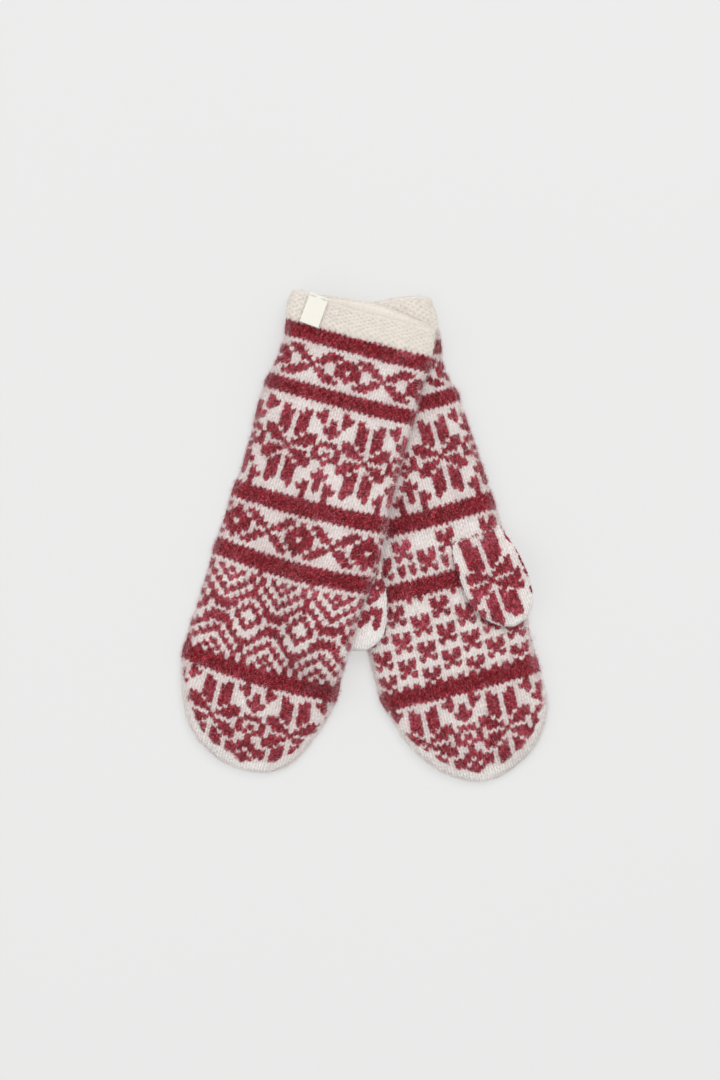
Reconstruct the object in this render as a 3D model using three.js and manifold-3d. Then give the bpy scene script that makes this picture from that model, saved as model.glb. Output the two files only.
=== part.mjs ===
// A pair of knitted mittens in brushed wool, lying flat: the left mitten palm up,
// the right mitten back up and laid across it. Millimetres, +Z up, floor at z = 0.
import * as THREE from 'three';
import Module from 'manifold-3d';

// ---------- driving dimensions ----------
const FLOOR = 0;               // underside of the lower mitten
const HAND_T = 9.2;            // thickness of a hand lying flat, two layers of knitting and the space between
const HAND_WALL = 2.2;         // thickness of the stranded knitting
const HAND_EDGE = 7.5;         // how far in from the side the rounded fold reaches
const TIP_T = 6.8;             // thickness at the fingertip, where the stitches are drawn together
const TIP_TAPER = 24;          // length over which the hand thins towards the tip
const CUFF_T = 9.8;            // the purl cuff is thicker than the hand
const CUFF_WALL = 2.5;
const CAST_ON_D = 2.4;         // rope-like edge of the cuff's first round
const THUMB_T = 8.8;
const THUMB_WALL = 2.1;
const THUMB_BASE_T = 3.6;      // the thumb rises out of the hand as a wedge
const THUMB_RISE = 13;         // length of that wedge
const GAP = 0.3;               // clearance between neighbouring pieces
const YARN_D = 1.4;            // working yarn, doubled at the joins
const LABEL_W = 11.8;          // folded woven ribbon
const LABEL_L = 16.5;
const LABEL_T = 0.5;           // one layer
const LABEL_FOLD = 0.4;        // space between the two layers
const LABEL_TILT = 5;          // degrees off the mitten's length
const LABEL_AT = [-27.0, 1.4]; // middle of the label's sewn edge: across the cuff, from the cast-on edge
const STITCH_D = 0.7;

// place of each mitten: middle of the cuff's mouth and the turn of its length
const RIGHT_AT = [-0.44, 132.57], RIGHT_TURN = 15;
const LEFT_AT = [-3.25, 129.37], LEFT_TURN = -13.5;

// outlines seen from above: [distance from the cuff's edge, left side, right side]
const RIGHT_OUTLINE = [
  [0.0, -42.9, 44.1], [10.4, -43.8, 45.5], [17.4, -41.8, 45.8], [22.6, -40.6, 45.5], [28.4, -40.0, 44.9], [39.4, -40.6, 44.7], [49.3, -42.3, 45.2], [55.1, -43.8, 44.9], [71.3, -44.9, 44.7], [88.7, -44.1, 44.7], [109.0, -44.4, 44.9], [120.6, -45.8, 45.8], [132.2, -46.7, 46.6], [142.1, -47.0, 47.4], [149.6, -47.3, 46.6], [157.8, -47.6, 44.9], [175.7, -48.1, 43.8], [193.1, -49.0, 43.5], [207.6, -50.0, 43.5], [217.5, -50.0, 43.5], [226.8, -48.7, 43.2], [234.9, -46.7, 42.0], [242.4, -44.4, 40.0], [250.0, -41.2, 37.1], [256.9, -37.7, 34.2], [262.7, -33.3, 31.3], [268.0, -27.5, 27.3], [272.0, -20.9, 22.6], [275.5, -13.3, 16.5], [277.5, -6.4, 9.9], [278.4, 1.7, 1.7],
];
const LEFT_OUTLINE = [
  [0.0, -39.6, 43.2], [10.4, -40.0, 44.2], [20.3, -40.2, 43.4], [26.7, -40.2, 42.0], [33.6, -40.3, 41.2], [42.3, -40.6, 40.9], [51.0, -41.2, 42.3], [58.0, -41.8, 44.7], [74.2, -42.1, 46.4], [91.6, -41.8, 48.1], [106.1, -41.2, 49.3], [120.6, -41.2, 50.2], [132.2, -40.9, 51.0], [145.0, -40.6, 52.2], [161.2, -40.6, 53.1], [178.6, -40.9, 53.4], [196.0, -40.9, 53.4], [210.5, -40.3, 53.1], [220.4, -40.0, 53.4], [229.7, -38.0, 53.9], [237.8, -35.7, 54.2], [245.3, -33.1, 53.9], [252.9, -29.6, 51.9], [259.8, -25.5, 48.1], [265.6, -20.9, 43.8], [270.9, -15.4, 38.0], [274.9, -9.9, 31.9], [279.0, -2.3, 23.5], [281.6, 4.1, 16.2], [282.5, 9.9, 9.9],
];
const LEFT_THUMB = [
  [133.4, 34.2, 34.2], [134.6, 27.8, 41.8], [136.9, 22.6, 46.4], [140.4, 18.6, 49.9], [145.0, 16.5, 52.8], [150.8, 16.8, 55.1], [156.6, 18.3, 57.1], [163.6, 20.0, 58.9], [170.5, 21.2, 60.0], [177.5, 22.9, 60.3], [183.3, 25.2, 59.7], [188.5, 28.4, 58.3], [192.6, 32.5, 55.7], [195.5, 36.5, 52.5], [197.5, 41.2, 48.7], [198.4, 45.2, 45.2],
];
const RIGHT_THUMB = [
  [130.5, 36.0, 36.0], [131.7, 30.2, 41.2], [134.0, 25.5, 44.7], [137.5, 22.0, 47.0], [142.1, 20.3, 48.7], [147.9, 19.7, 50.8], [153.7, 20.0, 53.9], [160.7, 20.9, 56.8], [167.6, 22.0, 58.9], [174.6, 24.1, 60.2], [180.4, 26.7, 60.2], [185.6, 29.9, 58.6], [189.7, 33.6, 55.4], [192.6, 37.7, 51.3], [194.3, 42.3, 47.3], [194.9, 44.7, 44.7],
];
const RIGHT_CUFF_END = 17.4, LEFT_CUFF_END = 21.0;
// the slit between hand and thumb: across low, across high, along low, along high
const LEFT_SLIT = [23, 47, 147, 158];
const RIGHT_SLIT = [25, 46, 144, 155];

// the upper mitten drapes: over the lower mitten, and over its own folded-under thumb
const OVER_HAND = CUFF_T + GAP;                   // 10.1
const OVER_THUMB = OVER_HAND + THUMB_T + GAP;     // 19.2
const HAND_MARGIN = 4, HAND_FALL = 38, THUMB_FALL = 32;
const THUMB_PLATEAU = [[14, 124], [14, 160], [18, 180], [24, 196], [34, 202], [75, 204], [75, 116], [30, 116], [20, 118]];

// ---------- curves and fields ----------
const rad = (d) => d * Math.PI / 180;
function at(table, s) {
  if (s <= table[0][0]) return [table[0][1], table[0][2]];
  for (let i = 1; i < table.length; i++) {
    if (s <= table[i][0]) {
      const [s0, l0, r0] = table[i - 1], [s1, l1, r1] = table[i];
      const t = (s - s0) / (s1 - s0);
      return [l0 + (l1 - l0) * t, r0 + (r1 - r0) * t];
    }
  }
  const e = table[table.length - 1];
  return [e[1], e[2]];
}
// the same outline drawn in by w all round, as the inside face of a wall
function inset(table, s, w) {
  const s0 = table[0][0], s1 = table[table.length - 1][0];
  let l = -1e9, r = 1e9;
  for (let k = -12; k <= 12; k++) {
    const d = w * k / 12, q = s + d;
    if (q < s0 || q > s1) { if (q > s1 || s0 > 1) return null; continue; }
    const [a, b] = at(table, q), h = Math.sqrt(Math.max(0, w * w - d * d));
    l = Math.max(l, a + h); r = Math.min(r, b - h);
  }
  return r - l > 1.2 ? [l, r] : null;
}
const frameOf = (p, turn) => {
  const c = Math.cos(rad(turn)), n = Math.sin(rad(turn));
  return (x, s) => [p[0] + x * c - s * n, p[1] - x * n - s * c];
};
const rightXY = frameOf(RIGHT_AT, RIGHT_TURN);
const leftXY = frameOf(LEFT_AT, LEFT_TURN);

function distanceOutside(poly, x, y) {
  let inside = false, best = 1e9;
  for (let i = 0, j = poly.length - 1; i < poly.length; j = i++) {
    const [xi, yi] = poly[i], [xj, yj] = poly[j];
    if ((yi > y) !== (yj > y) && x < (xj - xi) * (y - yi) / (yj - yi) + xi) inside = !inside;
    const dx = xj - xi, dy = yj - yi, t = Math.max(0, Math.min(1, ((x - xi) * dx + (y - yi) * dy) / (dx * dx + dy * dy || 1)));
    best = Math.min(best, Math.hypot(x - xi - t * dx, y - yi - t * dy));
  }
  return inside ? 0 : best;
}
const fall = (d, w) => { const t = Math.max(0, Math.min(1, d / w)); return 1 - t * t * t * (t * (6 * t - 15) + 10); };
const leftPoly = [...LEFT_OUTLINE.map(([s, l]) => leftXY(l, s)), ...LEFT_OUTLINE.slice().reverse().map(([s, , r]) => leftXY(r, s))];
const plateauPoly = THUMB_PLATEAU.map(([x, s]) => rightXY(x, s));
function drape(x, y) {
  const overHand = OVER_HAND * fall(Math.max(0, distanceOutside(leftPoly, x, y) - HAND_MARGIN), HAND_FALL);
  return overHand + (OVER_THUMB - overHand) * fall(distanceOutside(plateauPoly, x, y), THUMB_FALL);
}
const flat = () => 0;

// ---------- sections and skins ----------
// one round of the tube: flat above and below with rounded folds at the sides
function ring(l, r, z0, t, edge, flats, place, s, lift) {
  const a = (r - l) / 2, c = (l + r) / 2, b = t / 2, e = Math.min(edge, a * 0.96), out = [];
  const put = (x, z) => { const [X, Y] = place(c + x, s); out.push([X, Y, z0 + b + z + lift(X, Y)]); };
  for (let i = 0; i <= flats; i++) put(-(a - e) + 2 * (a - e) * i / flats, b);
  for (const q of [60, 30, 0, -30, -60]) put(a - e + e * Math.cos(rad(q)), b * Math.sin(rad(q)));
  for (let i = 0; i <= flats; i++) put((a - e) - 2 * (a - e) * i / flats, -b);
  for (const q of [-120, -150, 180, 150, 120]) put(-(a - e) + e * Math.cos(rad(q)), b * Math.sin(rad(q)));
  return out;
}
const middle = (pts) => pts.reduce((m, p) => [m[0] + p[0] / pts.length, m[1] + p[1] / pts.length, m[2] + p[2] / pts.length], [0, 0, 0]);

// skins rings in order; ends are points or the chain closes on itself
function skin(rings, closed, startPoint, endPoint) {
  const v = [], f = [], n = rings[0].length;
  for (const g of rings) v.push(...g);
  const band = (i, j) => {
    for (let k = 0; k < n; k++) {
      const a = i * n + k, b = i * n + (k + 1) % n, c = j * n + k, d = j * n + (k + 1) % n;
      f.push([a, b, d], [a, d, c]);
    }
  };
  for (let i = 0; i + 1 < rings.length; i++) band(i, i + 1);
  if (closed) band(rings.length - 1, 0);
  else {
    v.push(startPoint, endPoint);
    const p = v.length - 2, q = v.length - 1, m = (rings.length - 1) * n;
    for (let k = 0; k < n; k++) { f.push([p, (k + 1) % n, k]); f.push([q, m + k, m + (k + 1) % n]); }
  }
  let vol = 0;
  for (const [a, b, c] of f) {
    const A = v[a], B = v[b], C = v[c];
    vol += A[0] * (B[1] * C[2] - B[2] * C[1]) - A[1] * (B[0] * C[2] - B[2] * C[0]) + A[2] * (B[0] * C[1] - B[1] * C[0]);
  }
  if (vol < 0) for (const t of f) t.reverse();
  return { v, f };
}
function geometry({ v, f }) {
  const g = new THREE.BufferGeometry();
  g.setAttribute('position', new THREE.BufferAttribute(new Float32Array(v.flat()), 3));
  g.setIndex(f.flat());
  g.computeVertexNormals();
  return g;
}
// a round yarn along a line of points
function yarn(points, d, closed = false, sides = 8) {
  const P = points.map((p) => new THREE.Vector3(...p)), n = P.length, rings = [];
  for (let i = 0; i < n; i++) {
    const a = P[closed ? (i + n - 1) % n : Math.max(0, i - 1)], b = P[closed ? (i + 1) % n : Math.min(n - 1, i + 1)];
    const t = b.clone().sub(a).normalize();
    const u = new THREE.Vector3(0, 0, 1).cross(t);
    if (u.length() < 0.2) u.set(0, 1, 0).cross(t);
    u.normalize();
    const w = t.clone().cross(u);
    rings.push(Array.from({ length: sides }, (_, k) => {
      const q = 2 * Math.PI * (k + 0.5) / sides;
      const o = P[i].clone().addScaledVector(u, d / 2 * Math.cos(q)).addScaledVector(w, d / 2 * Math.sin(q));
      return [o.x, o.y, o.z];
    }));
  }
  return skin(rings, closed, points[0], points[n - 1]);
}

// ---------- booleans ----------
const wasm = await Module();
wasm.setup();
const solid = ({ v, f }) => new wasm.Manifold(new wasm.Mesh({ numProp: 3, vertProperties: new Float32Array(v.flat()), triVerts: new Uint32Array(f.flat()) }));
function fromSolid(m) {
  const g = m.getMesh(), v = [], f = [];
  for (let i = 0; i < g.numVert; i++) v.push([g.vertProperties[i * g.numProp], g.vertProperties[i * g.numProp + 1], g.vertProperties[i * g.numProp + 2]]);
  for (let i = 0; i < g.numTri; i++) f.push([g.triVerts[3 * i], g.triVerts[3 * i + 1], g.triVerts[3 * i + 2]]);
  return { v, f };
}
// an upright prism over a rectangle drawn in a mitten's own frame, corners rounded off
function prism([x0, x1, s0, s1], place, z0, z1) {
  const r = 3, pts = [];
  for (const [cx, cs, q0] of [[x1 - r, s1 - r, 0], [x0 + r, s1 - r, 90], [x0 + r, s0 + r, 180], [x1 - r, s0 + r, 270]])
    for (const q of [0, 45, 90]) pts.push([cx + r * Math.cos(rad(q0 + q)), cs + r * Math.sin(rad(q0 + q))]);
  const low = pts.map(([x, s]) => [...place(x, s), z0]), high = pts.map(([x, s]) => [...place(x, s), z1]);
  return skin([low, high], false, middle(low), middle(high));
}

// ---------- pieces ----------
const spread = (a, b, n) => Array.from({ length: n + 1 }, (_, i) => a + (b - a) * i / n);
function handStations(table, start, steps) {
  const end = table[table.length - 1][0];
  return [...spread(start, end - 46, steps), ...[38, 31, 25, 19.5, 15, 11, 7.8, 5, 2.8, 1.2].map((d) => end - d)];
}
const handT = (s, end) => { const q = Math.max(0, Math.min(1, (s - (end - TIP_TAPER)) / TIP_TAPER)); return HAND_T - (HAND_T - TIP_T) * q * q; };

function handShell(table, start, steps, flats, place, lift) {
  const end = table[table.length - 1][0];
  const outer = [], inner = [];
  for (const s of handStations(table, start, steps)) {
    const [l, r] = at(table, s);
    outer.push(ring(l, r, FLOOR, handT(s, end), HAND_EDGE, flats, place, s, lift));
  }
  for (const s of handStations(table, start, steps)) {
    const io = inset(table, s, HAND_WALL);
    if (io) inner.push(ring(io[0], io[1], FLOOR + HAND_WALL, handT(s, end) - 2 * HAND_WALL, HAND_EDGE - HAND_WALL, flats, place, s, lift));
  }
  const tip = table[table.length - 1];
  const [tx, ty] = place(tip[1], end - 0.2);
  const outTip = [tx, ty, FLOOR + TIP_T / 2 + lift(tx, ty)];
  return skin([...outer.reverse(), ...inner], false, outTip, middle(inner[inner.length - 1]));
}
function cuffBand(table, end, flats, place, lift) {
  const s0 = CAST_ON_D + GAP, s1 = end - GAP, ss = spread(s0, s1, 2);
  const outer = ss.map((s) => ring(...at(table, s), FLOOR, CUFF_T, HAND_EDGE, flats, place, s, lift));
  const inner = ss.map((s) => { const [l, r] = at(table, s); return ring(l + CUFF_WALL, r - CUFF_WALL, FLOOR + CUFF_WALL, CUFF_T - 2 * CUFF_WALL, HAND_EDGE - CUFF_WALL, flats, place, s, lift); });
  return skin([...outer, ...inner.reverse()], true);
}
// the cast-on edge is a rope of chained yarn round the mouth
function castOnEdge(table, flats, place, lift) {
  const s = CAST_ON_D / 2, d = CAST_ON_D / 2 + 0.05, [l, r] = at(table, s);
  const line = ring(l + d, r - d, FLOOR + d, CUFF_T - 2 * d, HAND_EDGE - d, flats, place, s, lift);
  const n = line.length, [ax, ay] = [place(0, 1)[0] - place(0, 0)[0], place(0, 1)[1] - place(0, 0)[1]];
  const rings = line.map((p, i) => {
    const a = line[(i + n - 1) % n], b = line[(i + 1) % n];
    const t = new THREE.Vector3(b[0] - a[0], b[1] - a[1], b[2] - a[2]).normalize(), u = new THREE.Vector3(ax, ay, 0), w = u.clone().cross(t).normalize();
    return Array.from({ length: 8 }, (_, k) => {
      const q = 2 * Math.PI * k / 8, R = CAST_ON_D / 2;
      return [p[0] + R * (u.x * Math.cos(q) + w.x * Math.sin(q)), p[1] + R * (u.y * Math.cos(q) + w.y * Math.sin(q)), p[2] + R * (u.z * Math.cos(q) + w.z * Math.sin(q))];
    });
  });
  return skin(rings, true);
}
// the thumb is a closed pouch with a mouth in the side that faces the hand
function thumbShell(table, place, z0, handAbove, slit) {
  const s0 = table[0][0], s1 = table[table.length - 1][0];
  const thick = (s) => { const q = Math.max(0, Math.min(1, (s - s0) / THUMB_RISE)), e = Math.max(0, Math.min(1, (s - s1 + 14) / 14)); return THUMB_BASE_T + (THUMB_T - THUMB_BASE_T) * q * q * (3 - 2 * q) - 2.0 * e * e; };
  const bottom = (s) => (handAbove ? z0 + THUMB_T - thick(s) : z0);
  const stations = [0.5, 1.4, 3, 5.5, 8.5, 12, 17, 24, 32, 40, 46, 51, 55, 58.5, 61.2, 63.2, 64.2].map((d) => s0 + d * (s1 - s0) / 65);
  const outer = stations.map((s) => ring(...at(table, s), bottom(s), thick(s), 6.5, 6, place, s, flat));
  const inner = [];
  for (const s of stations) {
    const io = inset(table, s, THUMB_WALL), t = thick(s) - 2 * THUMB_WALL;
    if (io && t > 0.9) inner.push(ring(io[0], io[1], bottom(s) + THUMB_WALL, t, 4.4, 6, place, s, flat));
  }
  const cap = (g) => middle(g);
  const ends = (d) => { const [x, y] = place(d < 1 ? table[0][1] : table[table.length - 1][1], d < 1 ? s0 + 0.1 : s1 - 0.1); return [x, y, bottom(d < 1 ? s0 : s1) + thick(d < 1 ? s0 : s1) / 2]; };
  let m = solid(skin(outer, false, ends(0), ends(1)));
  m = m.subtract(solid(skin(inner, false, cap(inner[0]), cap(inner[inner.length - 1]))));
  const cut = handAbove ? prism(slit, place, z0 + THUMB_T - THUMB_WALL - 1, z0 + THUMB_T + 2) : prism(slit, place, z0 - 2, z0 + THUMB_WALL + 1);
  return fromSolid(m.subtract(solid(cut)));
}
const arc = (cx, cs, rx, rs, q0, q1, n, place, z) => spread(q0, q1, n).map((q) => [...place(cx + rx * Math.sin(rad(q)), cs - rs * Math.cos(rad(q))), z]);
// the end of the yarn drawn through the last stitches: a small loop and a tail worked back along the inside
function closingYarn(x, s, r, tail, drift, place, z) {
  const pts = [];
  for (const q of spread(-160, 160, 12)) pts.push([...place(x + r * Math.sin(rad(q)), s + r * 0.7 - r * 0.7 * Math.cos(rad(180 + q))), z]);
  const [lx, ls] = [x + r * Math.sin(rad(160)), s + r * 0.7 - r * 0.7 * Math.cos(rad(340))];
  for (let k = 1; k <= 5; k++) pts.push([...place(lx + drift * k / 5, ls - tail * k / 5), z]);
  return yarn(pts, YARN_D);
}

// ---------- colours ----------
const cloth = (color, roughness = 0.95) => new THREE.MeshStandardMaterial({ color, roughness, metalness: 0 });
const PATTERN = 0xb0464f, CREAM = 0xece6dc, RED = 0x9c2a38, WHITE = 0xf4f1e6;

const mittens = new THREE.Group();
const add = (group, name, body, color, roughness) => {
  const mesh = new THREE.Mesh(geometry(body), cloth(color, roughness));
  mesh.name = name;
  group.add(mesh);
};

// left mitten, palm up, lying on the floor
const left = new THREE.Group();
mittens.add(left);
const leftThumbZ = HAND_T + GAP;
{
  let m = solid(handShell(LEFT_OUTLINE, LEFT_CUFF_END, 8, 6, leftXY, flat));
  m = m.subtract(solid(prism(LEFT_SLIT, leftXY, HAND_T - HAND_WALL - 1, HAND_T + 1)));
  add(left, 'left_hand_shell', fromSolid(m), PATTERN);
}
add(left, 'left_cuff_band', cuffBand(LEFT_OUTLINE, LEFT_CUFF_END, 6, leftXY, flat), CREAM);
add(left, 'left_cast_on_edge', castOnEdge(LEFT_OUTLINE, 6, leftXY, flat), CREAM);
add(left, 'left_thumb_shell', thumbShell(LEFT_THUMB, leftXY, leftThumbZ, false, LEFT_SLIT), PATTERN);
add(left, 'left_thumb_join_yarn', yarn(arc(34.2, 144.2, 18.6, 14.8, -78, 78, 16, leftXY, HAND_T + GAP + YARN_D / 2), YARN_D), CREAM);
add(left, 'left_tip_closing_yarn', closingYarn(11, 268, 3.4, 26, -5, leftXY, HAND_WALL + GAP + YARN_D / 2), CREAM);
add(left, 'left_thumb_tip_yarn', closingYarn(44, 187, 2.4, 7, 2, leftXY, leftThumbZ + THUMB_WALL + GAP + YARN_D / 2), CREAM);
add(left, 'left_cuff_yarn_tail', yarn(spread(5, 46, 10).map((s) => [...leftXY(-33.4 + 0.8 * Math.sin(s / 4), s), CUFF_WALL + GAP + YARN_D / 2 + 0.1]), YARN_D), CREAM);

// right mitten, back up, across the left one; its thumb is folded under its palm
const right = new THREE.Group();
mittens.add(right);
{
  let m = solid(handShell(RIGHT_OUTLINE, RIGHT_CUFF_END, 17, 10, rightXY, drape));
  m = m.subtract(solid(prism(RIGHT_SLIT, rightXY, OVER_THUMB - 1, OVER_THUMB + HAND_WALL + 1)));
  add(right, 'right_hand_shell', fromSolid(m), PATTERN);
}
add(right, 'right_cuff_band', cuffBand(RIGHT_OUTLINE, RIGHT_CUFF_END, 10, rightXY, drape), CREAM);
add(right, 'right_cast_on_edge', castOnEdge(RIGHT_OUTLINE, 10, rightXY, drape), CREAM);
add(right, 'right_thumb_shell', thumbShell(RIGHT_THUMB, rightXY, OVER_HAND, true, RIGHT_SLIT), PATTERN);
add(right, 'right_thumb_join_yarn', yarn(arc(36, 142, 17.3, 17.3, -80, 80, 16, rightXY, OVER_THUMB - GAP - YARN_D / 2), YARN_D), CREAM);
add(right, 'right_tip_closing_yarn', closingYarn(2, 264, 3.4, 24, 4, rightXY, HAND_WALL + GAP + YARN_D / 2), CREAM);
add(right, 'right_thumb_tip_yarn', closingYarn(43.5, 184, 2.4, 7, 2, rightXY, OVER_HAND + THUMB_T - THUMB_WALL - GAP - YARN_D / 2), CREAM);
add(right, 'right_cuff_yarn_tail', yarn(spread(5, 46, 10).map((s) => [...rightXY(-34.4 + 0.8 * Math.sin(s / 4), s), 0]).map(([x, y]) => [x, y, drape(x, y) + CUFF_WALL + GAP + YARN_D / 2 + 0.1]), YARN_D), CREAM);

// woven label: one ribbon folded on itself, its two ends sewn to the cuff's edge, the fold hanging free
{
  const t = LABEL_T, g = LABEL_FOLD, L = LABEL_L, h = 2 * t + g;
  const shape = new THREE.Shape();
  shape.moveTo(0, 0);
  shape.lineTo(L - h / 2, 0);
  for (const q of [-60, -30, 0, 30, 60]) shape.lineTo(L - h / 2 + h / 2 * Math.cos(rad(q)), h / 2 + h / 2 * Math.sin(rad(q)));
  shape.lineTo(L - h / 2, h);
  shape.lineTo(0, h);
  shape.lineTo(0, h - t);
  shape.lineTo(L - h / 2, h - t);
  shape.lineTo(L - h / 2 + g / 2, h / 2);
  shape.lineTo(L - h / 2, t);
  shape.lineTo(0, t);
  shape.closePath();
  const body = new THREE.ExtrudeGeometry(shape, { depth: LABEL_W, bevelEnabled: false, steps: 1 });
  body.translate(0, 0, -LABEL_W / 2);
  const label = new THREE.Group();
  const [lx, ly] = rightXY(...LABEL_AT);
  // local x runs down the label, local y stands off the cuff, local z crosses the label
  const down = RIGHT_TURN + LABEL_TILT;
  const X = new THREE.Vector3(-Math.sin(rad(down)), -Math.cos(rad(down)), 0), Y = new THREE.Vector3(0, 0, 1), Z = new THREE.Vector3().crossVectors(X, Y);
  label.quaternion.setFromRotationMatrix(new THREE.Matrix4().makeBasis(X, Y, Z));
  label.position.set(lx, ly, OVER_HAND + CUFF_T + GAP);
  const ribbon = new THREE.Mesh(body, cloth(WHITE, 0.7));
  ribbon.name = 'right_cuff_label';
  label.add(ribbon);
  for (const [side, name] of [[-1, 'label_stitch_left'], [1, 'label_stitch_right']]) {
    const body = yarn(spread(-1.5, 1.5, 2).map((z) => [1.3, h + GAP + STITCH_D / 2, side * (LABEL_W / 2 - 2.4) + z]), STITCH_D);
    const stitch = new THREE.Mesh(geometry(body), cloth(WHITE, 0.6));
    stitch.name = name;
    label.add(stitch);
  }
  right.add(label);
}

export default mittens;
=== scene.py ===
import math

import bpy
import numpy as np
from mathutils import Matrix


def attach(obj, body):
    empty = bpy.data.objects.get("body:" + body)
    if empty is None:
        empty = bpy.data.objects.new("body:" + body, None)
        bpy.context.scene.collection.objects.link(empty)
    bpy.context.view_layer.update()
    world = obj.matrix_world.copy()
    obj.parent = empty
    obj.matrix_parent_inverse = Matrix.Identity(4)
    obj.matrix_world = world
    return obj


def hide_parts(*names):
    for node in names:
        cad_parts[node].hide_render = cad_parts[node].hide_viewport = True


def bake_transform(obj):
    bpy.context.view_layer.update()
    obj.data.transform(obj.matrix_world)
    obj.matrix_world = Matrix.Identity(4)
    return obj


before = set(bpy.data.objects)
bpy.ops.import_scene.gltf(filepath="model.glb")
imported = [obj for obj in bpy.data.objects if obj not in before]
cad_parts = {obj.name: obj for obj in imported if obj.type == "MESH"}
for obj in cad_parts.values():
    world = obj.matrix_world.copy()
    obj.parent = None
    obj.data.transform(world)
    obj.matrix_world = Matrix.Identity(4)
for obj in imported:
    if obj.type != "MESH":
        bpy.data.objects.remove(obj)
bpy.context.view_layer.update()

MM = 0.001

# ------------------------------------------------------------------ sizes, millimetres
HAND_T, HAND_WALL, TIP_T, TIP_TAPER = 9.2, 2.2, 6.8, 24.0
CUFF_T, CUFF_WALL, CAST_ON_D = 9.8, 2.5, 2.4
THUMB_T, THUMB_RISE, GAP, YARN_D = 8.8, 13.0, 0.3, 1.4
LABEL_W, LABEL_L, LABEL_T, LABEL_FOLD = 11.8, 16.5, 0.5, 0.4
RIGHT_AT, RIGHT_TURN = (-0.44, 132.57), 15.0
LEFT_AT, LEFT_TURN = (-3.25, 129.37), -13.5
RIGHT_CUFF_END, LEFT_CUFF_END = 17.4, 21.0
OVER_HAND = CUFF_T + GAP
OVER_THUMB = OVER_HAND + THUMB_T + GAP
RIGHT_OUTLINE = [
    (0.0, -42.9, 44.1), (10.4, -43.8, 45.5), (17.4, -41.8, 45.8), (22.6, -40.6, 45.5), (28.4, -40.0, 44.9),
    (39.4, -40.6, 44.7), (49.3, -42.3, 45.2), (55.1, -43.8, 44.9), (71.3, -44.9, 44.7), (88.7, -44.1, 44.7),
    (109.0, -44.4, 44.9), (120.6, -45.8, 45.8), (132.2, -46.7, 46.6), (142.1, -47.0, 47.4), (149.6, -47.3, 46.6),
    (157.8, -47.6, 44.9), (175.7, -48.1, 43.8), (193.1, -49.0, 43.5), (207.6, -50.0, 43.5), (217.5, -50.0, 43.5),
    (226.8, -48.7, 43.2), (234.9, -46.7, 42.0), (242.4, -44.4, 40.0), (250.0, -41.2, 37.1), (256.9, -37.7, 34.2),
    (262.7, -33.3, 31.3), (268.0, -27.5, 27.3), (272.0, -20.9, 22.6), (275.5, -13.3, 16.5), (277.5, -6.4, 9.9),
    (278.4, 1.7, 1.7)]
LEFT_OUTLINE = [
    (0.0, -39.6, 43.2), (10.4, -40.0, 44.2), (20.3, -40.2, 43.4), (26.7, -40.2, 42.0), (33.6, -40.3, 41.2),
    (42.3, -40.6, 40.9), (51.0, -41.2, 42.3), (58.0, -41.8, 44.7), (74.2, -42.1, 46.4), (91.6, -41.8, 48.1),
    (106.1, -41.2, 49.3), (120.6, -41.2, 50.2), (132.2, -40.9, 51.0), (145.0, -40.6, 52.2), (161.2, -40.6, 53.1),
    (178.6, -40.9, 53.4), (196.0, -40.9, 53.4), (210.5, -40.3, 53.1), (220.4, -40.0, 53.4), (229.7, -38.0, 53.9),
    (237.8, -35.7, 54.2), (245.3, -33.1, 53.9), (252.9, -29.6, 51.9), (259.8, -25.5, 48.1), (265.6, -20.9, 43.8),
    (270.9, -15.4, 38.0), (274.9, -9.9, 31.9), (279.0, -2.3, 23.5), (281.6, 4.1, 16.2), (282.5, 9.9, 9.9)]
LEFT_THUMB = [
    (133.4, 34.2, 34.2), (134.6, 27.8, 41.8), (136.9, 22.6, 46.4), (140.4, 18.6, 49.9), (145.0, 16.5, 52.8),
    (150.8, 16.8, 55.1), (156.6, 18.3, 57.1), (163.6, 20.0, 58.9), (170.5, 21.2, 60.0), (177.5, 22.9, 60.3),
    (183.3, 25.2, 59.7), (188.5, 28.4, 58.3), (192.6, 32.5, 55.7), (195.5, 36.5, 52.5), (197.5, 41.2, 48.7),
    (198.4, 45.2, 45.2)]
RIGHT_THUMB = [
    (130.5, 36.0, 36.0), (131.7, 30.2, 41.2), (134.0, 25.5, 44.7), (137.5, 22.0, 47.0), (142.1, 20.3, 48.7),
    (147.9, 19.7, 50.8), (153.7, 20.0, 53.9), (160.7, 20.9, 56.8), (167.6, 22.0, 58.9), (174.6, 24.1, 60.2),
    (180.4, 26.7, 60.2), (185.6, 29.9, 58.6), (189.7, 33.6, 55.4), (192.6, 37.7, 51.3), (194.3, 42.3, 47.3),
    (194.9, 44.7, 44.7)]
THUMB_PLATEAU = [(14, 124), (14, 160), (18, 180), (24, 196), (34, 202), (75, 204), (75, 116), (30, 116), (20, 118)]

# ------------------------------------------------------------------ colours of the yarn, linear
RED = np.array([0.184, 0.0017, 0.0066])
PINK = np.array([0.560, 0.118, 0.165])
CREAM = np.array([0.935, 0.915, 0.875])
CREAM_PINK = np.array([0.760, 0.545, 0.550])
CUFF_CREAM = np.array([0.800, 0.742, 0.678])


# ------------------------------------------------------------------ small helpers
def smooth(t):
    t = np.clip(t, 0, 1)
    return t * t * (3 - 2 * t)


def smoother(t):
    t = np.clip(t, 0, 1)
    return t * t * t * (t * (6 * t - 15) + 10)


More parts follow.
